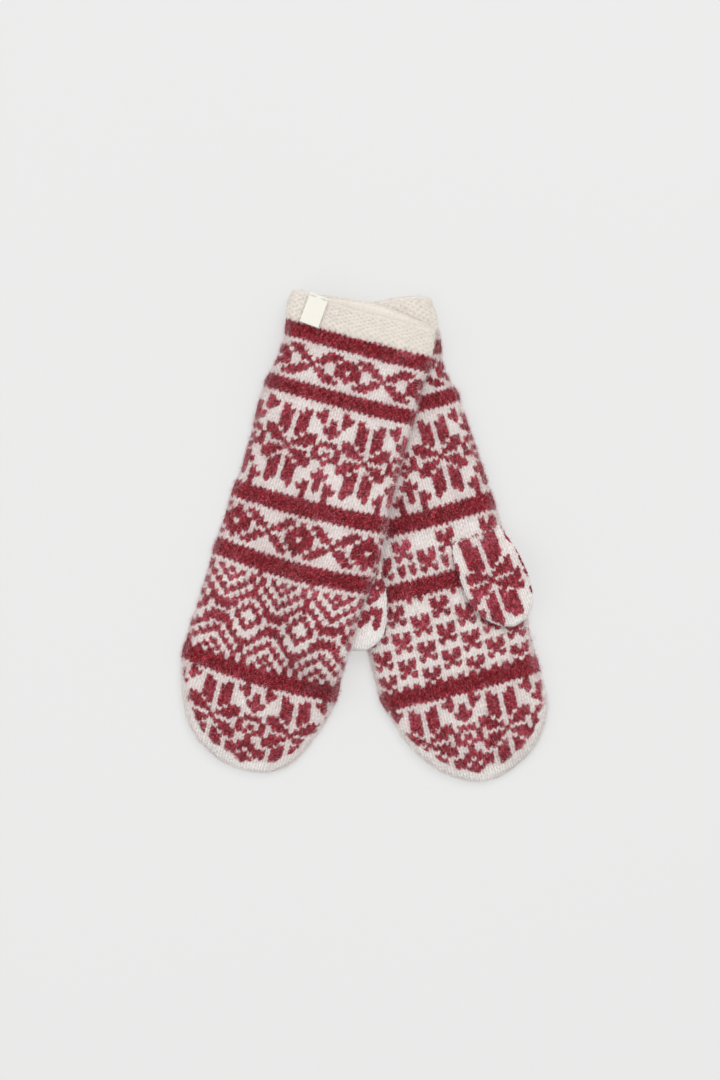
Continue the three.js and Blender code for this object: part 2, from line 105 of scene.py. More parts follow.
def hash2(i, j, seed):
    """A repeatable number from 0 to 1 for each pair of integers."""
    i = np.asarray(i, np.int64).astype(np.uint64)
    j = np.asarray(j, np.int64).astype(np.uint64)
    h = (i * np.uint64(0x9E3779B97F4A7C15)) ^ (j * np.uint64(0xC2B2AE3D27D4EB4F)) ^ np.uint64(seed * 0x165667B19E3779F9 & 0xFFFFFFFFFFFFFFFF)
    h ^= h >> np.uint64(29)
    h *= np.uint64(0xBF58476D1CE4E5B9)
    h ^= h >> np.uint64(32)
    h *= np.uint64(0x94D049BB133111EB)
    h ^= h >> np.uint64(31)
    return (h >> np.uint64(11)).astype(np.float64) / float(1 << 53)


def noise(x, y, seed):
    """Smooth value noise from -1 to 1 with a cell of 1."""
    xi, yi = np.floor(x), np.floor(y)
    fx, fy = smooth(x - xi), smooth(y - yi)
    xi, yi = xi.astype(np.int64), yi.astype(np.int64)
    a, b = hash2(xi, yi, seed), hash2(xi + 1, yi, seed)
    c, d = hash2(xi, yi + 1, seed), hash2(xi + 1, yi + 1, seed)
    return 2 * ((a * (1 - fx) + b * fx) * (1 - fy) + (c * (1 - fx) + d * fx) * fy) - 1


def place_of(at, turn):
    c, n = math.cos(math.radians(turn)), math.sin(math.radians(turn))
    return lambda x, s: (at[0] + x * c - s * n, at[1] - x * n - s * c)


right_xy, left_xy = place_of(RIGHT_AT, RIGHT_TURN), place_of(LEFT_AT, LEFT_TURN)


def pchip(xk, yk, x):
    """Monotone cubic through the points."""
    xk, yk = np.asarray(xk, float), np.asarray(yk, float)
    h, d = np.diff(xk), np.diff(yk) / np.diff(xk)
    m = np.zeros_like(yk)
    w1, w2 = 2 * h[1:] + h[:-1], h[1:] + 2 * h[:-1]
    ok = d[:-1] * d[1:] > 0
    with np.errstate(divide="ignore", invalid="ignore"):
        hm = (w1 + w2) / (w1 / d[:-1] + w2 / d[1:])
    m[1:-1] = np.where(ok, hm, 0)
    m[0], m[-1] = d[0], d[-1]
    i = np.clip(np.searchsorted(xk, x) - 1, 0, len(h) - 1)
    t = (x - xk[i]) / h[i]
    return (yk[i] * (1 + 2 * t) * (1 - t) ** 2 + h[i] * m[i] * t * (1 - t) ** 2
            + yk[i + 1] * t * t * (3 - 2 * t) + h[i] * m[i + 1] * t * t * (t - 1))


def outline(table, s, round_start=False):
    """Left and right side at each s. The ends are round, so they are read against the root of the distance from the end."""
    s = np.asarray(s, float)
    k = np.array(table, float)
    end, mid = k[-1, 0], (k[0, 0] + k[-1, 0]) / 2
    hk = np.sqrt(end - k[:, 0])[::-1]
    h = np.sqrt(np.maximum(end - s, 0))
    out = [pchip(hk, k[::-1, c], h) for c in (1, 2)]
    if round_start:
        hk2 = np.sqrt(k[:, 0] - k[0, 0])
        h2 = np.sqrt(np.maximum(s - k[0, 0], 0))
        alt = [pchip(hk2, k[:, c], h2) for c in (1, 2)]
        out = [np.where(s < mid, b, a) for a, b in zip(out, alt)]
    return out


def distance_outside(poly, x, y):
    poly = np.array(poly, float)
    best = np.full(x.shape, 1e9)
    inside = np.zeros(x.shape, bool)
    for i in range(len(poly)):
        (xi, yi), (xj, yj) = poly[i], poly[i - 1]
        with np.errstate(divide="ignore", invalid="ignore"):
            hit = ((yi > y) != (yj > y)) & (x < (xj - xi) * (y - yi) / ((yj - yi) or 1e-9) + xi)
        inside ^= hit
        dx, dy = xj - xi, yj - yi
        t = np.clip(((x - xi) * dx + (y - yi) * dy) / ((dx * dx + dy * dy) or 1), 0, 1)
        best = np.minimum(best, np.hypot(x - xi - t * dx, y - yi - t * dy))
    return np.where(inside, 0, best)


_gx, _gy = np.arange(-125, 126, 1.25), np.arange(-165, 166, 1.25)
_GX, _GY = np.meshgrid(_gx, _gy, indexing="ij")
_left_poly = [left_xy(l, s) for s, l, r in LEFT_OUTLINE] + [left_xy(r, s) for s, l, r in reversed(LEFT_OUTLINE)]
_plateau = [right_xy(x, s) for x, s in THUMB_PLATEAU]
_over = OVER_HAND * (1 - smoother(np.maximum(0, distance_outside(_left_poly, _GX, _GY) - 4) / 38))
_DRAPE = _over + (OVER_THUMB - _over) * (1 - smoother(distance_outside(_plateau, _GX, _GY) / 32))


def drape(x, y):
    """How high the upper mitten is held by what it lies on."""
    u, v = (x - _gx[0]) / 1.25, (y - _gy[0]) / 1.25
    i, j = np.clip(u.astype(int), 0, len(_gx) - 2), np.clip(v.astype(int), 0, len(_gy) - 2)
    a, b = u - i, v - j
    return (_DRAPE[i, j] * (1 - a) * (1 - b) + _DRAPE[i + 1, j] * a * (1 - b)
            + _DRAPE[i, j + 1] * (1 - a) * b + _DRAPE[i + 1, j + 1] * a * b)


def level(x, y):
    return np.zeros(np.broadcast(x, y).shape)


# ------------------------------------------------------------------ the stitch charts
K0, ROWS = 30, 112   # charts run from column -30 to 30


def blank():
    return np.zeros((2 * K0 + 1, ROWS), bool)


def mark(chart, row, cols):
    for c in cols:
        if -K0 <= c <= K0 and 0 <= row < ROWS:
            chart[c + K0, row] = True


def stripe(chart, row):
    chart[:, row:row + 4] = True


def band_diamond(chart, row):
    """Seven rows: small diamonds between crosses, repeat of 14."""
    cross = {0: (3, 4, 5), 1: (2, 3, 4), 2: (1, 2), 3: (0,), 4: (1, 2), 5: (2, 3, 4), 6: (3, 4, 5)}
    gem = {1: (0, 1), 2: (0, 1, 2), 3: (1, 2), 4: (0, 1, 2), 5: (0,)}
    for r in range(7):
        for c in range(-28, 29, 14):
            for e in gem.get(r, ()):
                mark(chart, row + r, (c + e, c - e))
        for c in range(-21, 22, 14):
            for e in cross[r]:
                mark(chart, row + r, (c + e, c - e))


STAR = {8: (2,), 7: (1, 2), 6: (1, 2), 5: (1, 2), 4: (1, 2), 3: (1, 3, 4), 2: (2, 3, 4), 1: (1, 2, 3), 0: (0,)}


def star(chart, row, at):
    for dr in range(-8, 9):
        for e in STAR[abs(dr)]:
            mark(chart, row + dr, (at + e, at - e))


SMALL = {1: (2,), 2: (2, 3), 3: (0, 2), 4: (0,), 5: (0, 1), 6: (0,), 8: (0, 1), 9: (2,), 10: (0, 2), 11: (1, 2), 12: (0,),
         14: (0,), 15: (0, 1), 16: (0,), 17: (0, 2), 18: (0, 2, 3), 19: (2,), 20: (2,)}


def band_stars(chart, row, upto=99):
    for at in (-21, -7, 7, 21):
        star(chart, row + 10, at)
    for at in (-28, -14, 0, 14, 28):
        for r, es in SMALL.items():
            if r <= upto:
                for e in es:
                    mark(chart, row + r, (at + e, at - e))


def band_rings(chart, row):
    ring = {1: (0,), 2: (0, 1), 3: (0, 1, 2), 4: (1, 2), 5: (0, 1, 2), 6: (0, 1), 7: (0,)}
    cross = {1: (3, 4), 2: (2, 3), 3: (1, 2), 4: (0,), 5: (1, 2), 6: (2, 3), 7: (3, 4)}
    for r in range(1, 8):
        for c in range(-24, 25, 12):
            for e in ring[r]:
                mark(chart, row + r, (c + e, c - e))
        for c in range(-30, 31, 12):
            for e in cross[r]:
                mark(chart, row + r, (c + e, c - e))


def band_zigzag(chart, row):
    half = {0: (5,), 1: (0, 2, 4), 2: (1, 4), 3: (0, 3, 5), 4: (2, 5), 5: (1, 4, 5), 6: (0, 3), 7: (2, 5), 8: (0, 1, 2, 4), 9: (0, 1, 3), 10: (3,),
            11: (0, 1, 4), 12: (0, 1, 2, 5), 13: (2,)}
    for r in range(20):
        h = half[r if r <= 13 else 20 - r]
        for k in range(-K0, K0 + 1):
            m = abs(k) % 10
            if (m if m <= 5 else 10 - m) in h:
                mark(chart, row + r, (k,))


def seed(chart, row, at, top=0, rows=4):
    """The small four-row cross of the palm."""
    shape = {0: (-1, 1), 1: (-1, 0, 1), 2: (0,), 3: (-1, 1)}
    for r in range(top, rows):
        mark(chart, row + r, [at + e for e in shape[r]])


def palm_low(chart, row):
    for c in range(-28, 29, 8):
        seed(chart, row + 1, c)
        mark(chart, row + 6, (c - 1, c + 1))
        mark(chart, row + 7, (c - 1, c + 1))
    for c in range(-32, 33, 8):
        seed(chart, row + 4, c)


def palm_high(chart, row):
    for n in range(7):
        for c in (range(-28, 29, 8) if n % 2 else range(-32, 33, 8)):
            seed(chart, row + 1 + 3 * n, c, 0, 4 if n < 6 else 1)
    for c in range(-28, 29, 8):
        mark(chart, row, (c - 1, c + 1))


def hand_chart(palm):
    c = blank()
    for r in (0, 13, 38, 51, 75):
        stripe(c, r)
    band_diamond(c, 5)
    band_stars(c, 17)
    (palm_low if palm else band_rings)(c, 42)
    (palm_high if palm else band_zigzag)(c, 55)
    for at in (-21, -7, 7, 21):
        star(c, 88, at)
    for at in (-28, -14, 0, 14, 28):
        for r, es in {**{r: e for r, e in SMALL.items() if r < 13}, 13: (0,), 14: (0, 1), 15: (1, 2, 3), 16: (0, 2, 3), 17: (0, 1), 18: (0,)}.items():
            for e in es:
                mark(c, 78 + r, (at + e, at - e))
    c[:, 97:] = False
    return c


def thumb_chart():
    """The star of the thumb is centred on row 50."""
    c = blank()
    big = {-10: (2,), -9: (-3, -2, 2, 3), -8: (-3, -2, 1, 2, 3), -7: (-3, -2, -1, 1, 2, 3), -6: (-3, -2, -1, 1, 2, 3), -5: (-3, -2, -1, 1, 2, 3),
           -4: (-3, -2, -1, 1, 2), -3: (-2, -1, 1, 4), -2: (-4, -3, -2, 2, 3, 4), -1: (-4, -3, -2, -1, 1, 2, 3, 4), 0: (0, 5),
           1: (-4, -3, -2, -1, 1, 2, 3, 4, 5), 2: (-4, -3, -2, 2, 3, 4), 3: (-5, -4, -1, 1, 4, 5), 4: (-5, -2, -1, 1, 2, 3), 5: (-2, -1, 1, 2, 3),
           6: (-4, -2, -1, 1, 2, 3), 7: (-2, -1, 1, 2, 3), 8: (-2, -1, 2, 3), 9: (-1,)}
    for dr, es in big.items():
        mark(c, 50 + dr, es)
    # the sides carry the ends of the next motifs
    for at in (-12, 12):
        star(c, 50, at)
    for dr, es in {-8: (6, 7), -7: (6,), -6: (7,), -5: (-6,), -4: (-6, 7), -2: (7, -7), -1: (7,), 1: (7,), 5: (-6, 7)}.items():
        mark(c, 50 + dr, es)
    for at in range(-14, 15, 3):
        mark(c, 39, (at,))
    mark(c, 38, range(-14, 15, 2))
    c[:, 62:] = False
    return c


def thumb_back_chart():
    """The other side of the thumb: a small open flower beside half a star."""
    c = thumb_chart()
    c[K0:K0 + 8, 41:62] = False
    flower = {-8: (1, 2), -7: (2, 5), -6: (3, 5), -4: (4, 5), -3: (3, 5), -2: (3, 4), -1: (4,), 0: (3,), 2: (4, 5), 3: (2, 3, 5), 4: (3, 5), 5: (2, 5),
              8: (0,)}
    for dr, es in flower.items():
        mark(c, 50 + dr, es)
    return c


# ------------------------------------------------------------------ meshes
def make_mesh(name, verts, quads, tris, uv=None, stitch=None, colour=None, flat=False):
    """verts in millimetres. uv and stitch are per corner, in the order quads then tris."""
    me = bpy.data.meshes.new(name)
    nq, nt = len(quads), len(tris)
    loops = np.concatenate([np.asarray(quads, np.int32).ravel(), np.asarray(tris, np.int32).ravel()])
    me.vertices.add(len(verts))
    me.vertices.foreach_set("co", (np.asarray(verts, np.float64) * MM).astype(np.float32).ravel())
    me.loops.add(len(loops))
    me.loops.foreach_set("vertex_index", loops)
    me.polygons.add(nq + nt)
    starts = np.concatenate([np.arange(nq, dtype=np.int32) * 4, nq * 4 + np.arange(nt, dtype=np.int32) * 3])
    me.polygons.foreach_set("loop_start", starts)
    me.update(calc_edges=True)
    me.validate(verbose=False)
    me.polygons.foreach_set("use_smooth", np.full(nq + nt, not flat))
    for layer, data in (("OFBake", uv), ("stitch", stitch)):
        if data is not None:
            me.uv_layers.new(name=layer).data.foreach_set("uv", np.asarray(data, np.float32).ravel())
    if colour is not None:
        a = me.color_attributes.new("yarn", "FLOAT_COLOR", "POINT")
        rgba = np.ones((len(verts), 4), np.float32)
        rgba[:, :3] = colour
        a.data.foreach_set("color", rgba.ravel())
    me.update()
    ob = bpy.data.objects.new(name, me)
    bpy.context.scene.collection.objects.link(ob)
    return ob


def normals_of(P, wrap=True):
    """Outward direction on a grid of rings that wraps round its second index."""
    du = (np.roll(P, -1, 1) - np.roll(P, 1, 1)) if wrap else np.gradient(P, axis=1)
    ds = np.gradient(P, axis=0)
    n = np.cross(du, ds)
    return n / np.maximum(np.linalg.norm(n, axis=2, keepdims=True), 1e-9)


def section(a, b, nt, power, fine=240):
    """The upper half of a flat oval, as x and z at even steps along its length."""
    th = np.linspace(0, math.pi, fine)
    x = -np.cos(th)
    # a finer look at the side folds
    z = np.sqrt(np.maximum(0, 1 - np.abs(x) ** power))
    X, Z = a * x, b * z
    d = np.concatenate([[0], np.cumsum(np.hypot(np.diff(X), np.diff(Z)))])
    t = np.linspace(0, d[-1], nt + 1)
    return np.interp(t, d, X), np.interp(t, d, Z), t - d[-1] / 2


def tube(stations, left, right, thick, z0, nt, place, lift, shrink=0.45, powers=(2.0, 7.0), crease=None):
    """Rings of points: along the upper face from left to right, then back along the lower face."""
    S = len(stations)
    P = np.zeros((S, 2 * nt, 3))
    arc = np.zeros((S, 2 * nt))
    X2 = np.zeros((S, 2 * nt))
    for i, s in enumerate(stations):
        l, r = left[i] + shrink, right[i] - shrink
        a, c, b = max((r - l) / 2, 0.02), (l + r) / 2, max(thick[i] / 2 - shrink * 0.8, 0.05)
        power = powers[0] + (powers[1] - powers[0]) * float(np.clip((a - 7) / 36, 0, 1))
        x, z, t = section(a, b, nt, power)
        xs = np.concatenate([x[:-1], x[::-1][:-1]])
        zs = np.concatenate([z[:-1], -z[::-1][:-1]])
        ts = np.concatenate([t[:-1], t[::-1][:-1]])
        X, Y = place(c + xs, s)
        zb = z0[i] + thick[i] / 2
        P[i, :, 0], P[i, :, 1] = X, Y
        P[i, :, 2] = zb + zs + lift(X, Y)
        arc[i], X2[i] = ts, c + xs
    return P, arc, X2


SLANT = 1.76    # rows by which a stitch's two legs rise from its point


def soften(chart, sigma):
    """How much red lies round each stitch."""
    k = np.arange(-6, 7)
    w = np.exp(-0.5 * (k / sigma) ** 2)
    w /= w.sum()
    out = chart.astype(float)
    for axis in (0, 1):
        pad = np.pad(out, [(6, 6) if a == axis else (0, 0) for a in (0, 1)], mode="edge")
        out = sum(w[i] * (pad[i:i + out.shape[0]] if axis == 0 else pad[:, i:i + out.shape[1]]) for i in range(13))
    return out


def grid_value(A, x, y):
    x, y = np.clip(x, 0, A.shape[0] - 1.001), np.clip(y, 0, A.shape[1] - 1.001)
    i, j = x.astype(int), y.astype(int)
    a, b = x - i, y - j
    return A[i, j] * (1 - a) * (1 - b) + A[i + 1, j] * a * (1 - b) + A[i, j + 1] * (1 - a) * b + A[i + 1, j + 1] * a * b


TOUCH = [(0.0, 0.0, 1.0)] + [(0.16 * math.cos(t), 0.12 * math.sin(t), 0.9) for t in np.radians([0, 60, 120, 180, 240, 300])] \
    + [(0.31 * math.cos(t), 0.24 * math.sin(t), 0.6) for t in np.radians([0, 60, 120, 180, 240, 300])]


def knit_fields(p, q, chart_front, chart_back, nt, seed_, warp=0.10, bold=0.0):
    """Colour, height and stitch facts for every grid point, from its column p and row q."""
    wx = noise(p * 2.3, q * 2.3, seed_ + 1) * warp + noise(p * 6, q * 6, seed_ + 2) * warp * 0.6
    wq = noise(p * 2.1 + 9, q * 2.1, seed_ + 3) * warp * 1.4 + noise(p * 6 + 5, q * 6, seed_ + 4) * warp * 0.8
    pp, qq = p + wx, q + wq
    col = np.floor(pp + 0.5).astype(int)
    u = pp + 0.5 - col
    ul = np.where(u < 0.5, u, 1 - u)
    w = qq - SLANT * ul + SLANT / 4
    row = np.floor(w).astype(int)
    fr = w - row
    side = (u >= 0.5).astype(int)
    b1 = np.maximum(0, 1 - (2 * fr - 1) ** 2) ** 0.7
    b2 = np.maximum(0, 1 - ((ul - 0.25) / 0.25) ** 2) ** 0.75
    h = b2 * (0.35 + 0.65 * b1)
    front = np.broadcast_to((np.arange(p.shape[1]) < nt)[None, :], p.shape)

    def looked_up(a, b):
        c = np.floor(a + 0.5).astype(int)
        v = a + 0.5 - c
        g = np.floor(b - SLANT * np.minimum(v, 1 - v) + SLANT / 4).astype(int)
        ci, ri = np.clip(c + K0, 0, 2 * K0), np.clip(g, 0, ROWS - 1)
        return np.where(front, chart_front[ci, ri], chart_back[ci, ri]) & (g >= 0)

    cover = sum(k * looked_up(pp + da, qq + db) for da, db, k in TOUCH) / sum(k for _, _, k in TOUCH)
    near = np.where(front, grid_value(soften(chart_front, 1.5), pp + K0, qq - 0.5), grid_value(soften(chart_back, 1.5), pp + K0, qq - 0.5))
    # the red yarn lies on top: it is brushed over lone cream neighbours, and its edge is ragged
    S_, T_ = p.shape
    speck = hash2(np.arange(S_)[:, None] * np.ones((1, T_), int), np.arange(T_)[None, :] * np.ones((S_, 1), int), seed_ + 9) - 0.5
    ragged = 0.34 * speck + 0.20 * noise(p * 5.5, q * 4.0, seed_ + 5) + 0.16 * noise(p * 1.2, q * 1.2, seed_ + 6)
    solid = soften(np.repeat(chart_front.all(0)[None, :].astype(float), 3, 0), 1.1)[1]
    bias = bold + 0.50 * np.clip(1.45 - 1.9 * near, 0, 1) * np.clip(1 - 1.7 * np.interp(qq, np.arange(ROWS) + 0.5, solid), 0, 1)
    red = smooth((cover + bias + ragged - 0.5) / 0.46 + 0.5)
    red = np.where(cover <= 0.001, np.minimum(red, 0.0), red)
    each = hash2(col * 2 + side, row, seed_ + 7)
    each2 = hash2(col, row, seed_ + 8)
    return red, h, each, each2, pp, qq, near, speck


def yarn_colour(fields, seed_, fade=None):
    """Brushed two-colour yarn: speckled red that pales towards the cream, and cream hazed with pink near the red; both
    are also painted darker in the stitch grooves and lighter on the raised legs, as painted shade.
    """
    red, h, each, each2, p, q, near, speck = fields
    broad = noise(p * 0.22, q * 0.16, seed_ + 11) * 0.6 + noise(p * 0.55, q * 0.4, seed_ + 12) * 0.4
    n1 = noise(p * 2.4 + q * 0.5, q * 1.7, seed_ + 13)
    n2 = noise(p * 4.4 - q * 0.6, q * 3.1, seed_ + 14)
    g = 0.42 * n1 + 0.55 * n2 + 2.2 * speck
    pale = 0.41 * np.clip(0.90 - near, 0, 1) + 0.50 * np.maximum(0, broad - 0.20) + 0.20 * np.maximum(0, each - 0.72) / 0.28
    if fade is not None:
        pale = pale + fade
    pale = np.clip(pale + 0.12 * np.maximum(g - 0.2, 0), 0, 0.85)[..., None]
    r = RED * (1 - pale) + PINK * pale
    # painted shade: the red is darker in the stitch grooves (low h) and lighter on the raised legs
    r = r * (np.exp(np.where(g < 0, 1.20, 0.52) * g) * (0.76 + 0.46 * h))[..., None] + (0.008 * np.maximum(g - 0.15, 0))[..., None]
    # the (1 - h) terms put more of the darker pink in the grooves: painted shade there, on top of the real pink fuzz
    # near the red
    haze = 0.66 * np.clip(near * 1.25, 0, 1) * (0.40 + 0.75 * (1 - h)) + 0.22 * (1 - h) * (0.4 + near) + 0.35 * np.maximum(0, -broad - 0.1) * (0.3 + near) + 0.25 * np.maximum(0, each2 - 0.7) / 0.3 * near
    haze = np.clip(haze + 0.22 * np.maximum(-g, 0) * (0.3 + near), 0, 1)[..., None]
    c = CREAM * (1 - haze) + CREAM_PINK * haze
    # painted shade: the cream is darker in the stitch grooves (low h) and lighter on the raised legs
    c = c * ((0.78 + 0.32 * h) * np.exp(0.05 * g) * (1.02 - 0.14 * np.clip(near * 2, 0, 1)))[..., None]
    m = red[..., None]
    return np.clip(c * (1 - m) + r * m, 0, 0.94)


def ring_faces(S, T, offset=0):
    i, j = np.meshgrid(np.arange(S - 1), np.arange(T), indexing="ij")
    a, b = i * T + j, i * T + (j + 1) % T
    c, d = (i + 1) * T + (j + 1) % T, (i + 1) * T + j
    return np.stack([a, b, c, d], -1).reshape(-1, 4) + offset


def flip(f):
    return np.asarray(f)[:, ::-1]


def corner_grid(S, T, U, V):
    """Corner values for ring_faces, where the last face of a ring runs on to the value past the end."""
    i, j = np.meshgrid(np.arange(S - 1), np.arange(T), indexing="ij")
    pick = lambda A, ii, jj: A[ii, jj]
    u = np.stack([pick(U, i, j), pick(U, i, j + 1), pick(U, i + 1, j + 1), pick(U, i + 1, j)], -1)
    v = np.stack([pick(V, i, j), pick(V, i, j + 1), pick(V, i + 1, j + 1), pick(V, i + 1, j)], -1)
    return np.stack([u, v], -1).reshape(-1, 4, 2)


SURF = {}


def keep_surface(key, P, N, C, front):
    SURF[key] = (P, N, C, front)


def hand(name, outline_table, start, place, lift, centre, pitch, rowmap, bow, charts, seed_, nt=236, edge_fade=None, step=0.46):
    end = outline_table[-1][0]
    body = np.arange(start, end - 34, step)
    tip = end - 34 * (1 - np.linspace(0, 1, 118)[1:-1]) ** 1.55
    st = np.concatenate([body, [end - 34], tip])
    st = st[st < end - 0.004]
    l, r = outline(outline_table, st)
    rows_at = np.interp(st, rowmap[0], rowmap[1])
    out = sum(np.exp(-0.5 * ((rows_at - (k + 2)) / 1.6) ** 2) for k in (0, 13, 38, 51, 75)) * 0.55 - 0.12
    out = out * smooth((end - st) / 20)
    l, r = l - out, r + out
    thick = HAND_T - (HAND_T - TIP_T) * np.clip((st - (end - TIP_TAPER)) / TIP_TAPER, 0, 1) ** 2
    z0 = np.zeros(len(st))
    # the last rings close in height as well as width
    close = np.clip((end - st) / 3.2, 0, 1)
    th2 = thick * np.sqrt(np.clip(1 - (1 - close) ** 2, 0.0004, 1))
    z0 = (thick - th2) / 2
    P, arc, X = tube(st, l, r, th2, z0, nt, place, lift)
    N = normals_of(P)
    # rings run clockwise or not, so the normals are turned to face out
    mid = P.mean(1, keepdims=True)
    if np.mean(np.sum((P - mid) * N, 2)) < 0:
        N = -N
    S, T = X.shape
    s2 = np.repeat(st[:, None], T, 1)
    c2 = np.interp(st, centre[0], centre[1])[:, None]
    pt = np.interp(st, pitch[0], pitch[1])[:, None]
    # distance from the centre line along the cloth
    mid_x = ((l + r) / 2)[:, None]
    p = (arc - (c2 - mid_x)) / pt
    edge_l = (arc[:, :1] - (c2 - mid_x)) / pt
    edge_r = (arc[:, nt:nt + 1] - (c2 - mid_x)) / pt
    hold = (1 - smooth((s2 - 208) / 22))
    fit_r = (p > 8) * smooth((p - 8) / np.maximum(edge_r - 8, 1)) * (14.5 - edge_r) * hold
    fit_l = (p < -8) * smooth((-p - 8) / np.maximum(-edge_l - 8, 1)) * (-14.5 - edge_l) * hold
    p = p + fit_r + fit_l
    half = ((r - l) / 2)[:, None]
    xi = np.clip((X - mid_x) / half, -1, 1)
    b = np.interp(st, bow[0], bow[1])[:, None]
    lean = np.interp(st, bow[0], bow[2])[:, None]
    q = np.interp((s2 - b * (0.55 - xi ** 2) + lean * xi).ravel(), rowmap[0], rowmap[1]).reshape(s2.shape)
    fields = knit_fields(p, q, charts[0], charts[1], nt, seed_)
    red, h, each, each2, pp, qq = fields[:6]
    # the decreases along the rim of the tip are worked in plain cream
    rim_s = np.linspace(206, end, 180)
    rim_l, rim_r = outline(outline_table, rim_s)
    rim_x, rim_s = np.concatenate([rim_l, rim_r]), np.concatenate([rim_s, rim_s])
    deep = np.full(X.shape, 99.0)
    for i in np.where(st > 212)[0]:
        deep[i] = np.sqrt(np.min((X[i][:, None] - rim_x) ** 2 + (st[i] - rim_s) ** 2, axis=1))
    plain = 0.8 + 4.4 * smooth((s2 - 228) / 40) - deep + 1.1 * noise(pp * 0.9, qq * 0.9, seed_ + 35)
    plain = smooth(plain / 1.6 + 0.5) * smooth((qq - 79.4) / 1.4)
    red = red * (1 - plain)
    fields = (red,) + fields[1:6] + (fields[6] * (1 - 0.6 * plain), fields[7])
    fade = None
    if edge_fade is not None:
        fade = edge_fade(X, s2, xi)
    C = yarn_colour(fields, seed_, fade)
    relief = 0.90 * h + 0.14 * noise(pp * 4, qq * 4, seed_ + 31) + 0.12 * red
    swell = 0.35 * noise(X / 26, s2 / 24, seed_ + 32) + 0.22 * noise(X / 11, s2 / 12, seed_ + 33)
    fadeout = smooth((end - s2) / 4)
    low = np.arange(T)[None, :] >= nt
    D = (relief - 0.1) * np.where(fadeout < 1, 0.3 + 0.7 * fadeout, 1) + np.where(low, 0, swell) * fadeout
    Q = P + N * D[..., None]
    Q[..., 2] = np.maximum(Q[..., 2], 0.02)
    keep_surface(name, Q, N, C, nt)
    # the inside face of the knitting
    take = np.unique(np.concatenate([np.arange(0, S - 60, 9)]))
    take = take[(st[take] < end - 9)]
    si = st[take]
    li, ri = l[take] + HAND_WALL, r[take] - HAND_WALL
    ins = smooth((end - 9 - si) / 18)
    mi = (li + ri) / 2
    li, ri = mi + (li - mi) * (0.75 + 0.25 * ins), mi + (ri - mi) * (0.75 + 0.25 * ins)
    Pi, _, Xi = tube(si, li, ri, th2[take] - 2 * HAND_WALL + 0.4, z0[take] + HAND_WALL - 0.2, nt, place, lift, shrink=0.0)
    Si = len(si)
    qi = q[take]
    inner_red = (chart_rows(charts[1])[np.clip(qi.astype(int), 0, ROWS - 1)])
    streak = noise(p[take] * 1.1, qi * 2.2, seed_ + 41)
    mixr = np.clip(inner_red * 1.0 + 0.35 * streak, 0, 1)[..., None]
    Ci = CREAM_PINK * 0.95 * (1 - mixr) + RED * mixr
    verts = np.concatenate([Q.reshape(-1, 3), Pi.reshape(-1, 3), [Q[-1].mean(0)], [Pi[-1].mean(0)]])
    cols = np.concatenate([C.reshape(-1, 3), Ci.reshape(-1, 3), [CREAM], [CREAM_PINK]])
    n0, n1 = S * T, S * T + Si * T
    outer = ring_faces(S, T)
    inner = flip(ring_faces(Si, T, n0))
    j = np.arange(T)
    rim = np.stack([n0 + j, n0 + (j + 1) % T, (j + 1) % T, j], -1)
    tip_c, in_c = n1, n1 + 1
    last, lasti = (S - 1) * T, n0 + (Si - 1) * T
    t1 = np.stack([last + j, last + (j + 1) % T, np.full(T, tip_c)], -1)
    t2 = np.stack([lasti + (j + 1) % T, lasti + j, np.full(T, in_c)], -1)
    # own flat layout: upper face, lower face and the inside side by side
    su = np.concatenate([[0], np.cumsum(np.linalg.norm(np.diff(P[:, nt // 2], axis=0), axis=1))])
    su = su / su[-1]
    frac = np.arange(nt + 1) / nt
    def layout(S_, v0, v1, rows, x0):
        U = np.zeros((S_, T + 1)); V = np.zeros((S_, T + 1))
        U[:, :nt + 1] = x0[0] + (x0[1] - x0[0]) * frac[None, :]
        U[:, nt:] = x0[2] + (x0[3] - x0[2]) * (np.arange(T + 1 - nt) / nt)[None, :]
        V[:] = (v0 + (v1 - v0) * rows)[:, None]
        return U, V
    U, V = layout(S, 0.004, 0.93, su, (0.004, 0.494, 0.506, 0.996))
    uo = corner_grid(S, T, U, V)
    # the face that starts the lower half begins at its own column
    uo = fix_seam(uo, S, T, nt, (0.494, 0.506), 1 / nt, (0.506, 0.996))
    Ui, Vi = layout(Si, 0.945, 0.992, np.linspace(0, 1, Si), (0.004, 0.494, 0.506, 0.996))
    ui = corner_grid(Si, T, Ui, Vi)[:, ::-1]
    ur = np.zeros((T, 4, 2)); ur[:, :, 1] = np.array([0.936, 0.936, 0.9395, 0.9395]); ur[:, :, 0] = 0.004 + 0.99 * np.stack([j, j + 1, j + 1, j], -1) / T
    ut1 = np.zeros((T, 3, 2)); ut1[:, :, 1] = np.array([0.9405, 0.9405, 0.9425]); ut1[:, :, 0] = 0.004 + 0.99 * np.stack([j, j + 1, j + 0.5], -1) / T
    ut2 = ut1 + np.array([0, 0.002]) * 0.5
    st_o = corner_grid(S, T, wrap_cols(pp, nt), wrap_cols(qq, nt))
    st_i = corner_grid(Si, T, wrap_cols(p[take], nt), wrap_cols(qi, nt))[:, ::-1]
    zero = np.zeros((T, 4, 2)); zt = np.zeros((2 * T, 3, 2))
    quads = np.concatenate([outer, inner, rim])
    tris = np.concatenate([t1, t2])
    quads, tris, uvq, uvt, sq, stt = orient(verts, quads, tris, np.concatenate([uo, ui, ur]), np.concatenate([ut1, ut2]),
                                            np.concatenate([st_o, st_i, zero]), zt, len(outer))
    return make_mesh(name, verts, quads, tris, np.concatenate([uvq.reshape(-1, 2), uvt.reshape(-1, 2)]),
                     np.concatenate([sq.reshape(-1, 2), stt.reshape(-1, 2)]), cols)


def chart_rows(chart):
    return chart.mean(1 - 1) > 0.9


def wrap_cols(A, nt):
    return np.concatenate([A, A[:, :1]], 1)


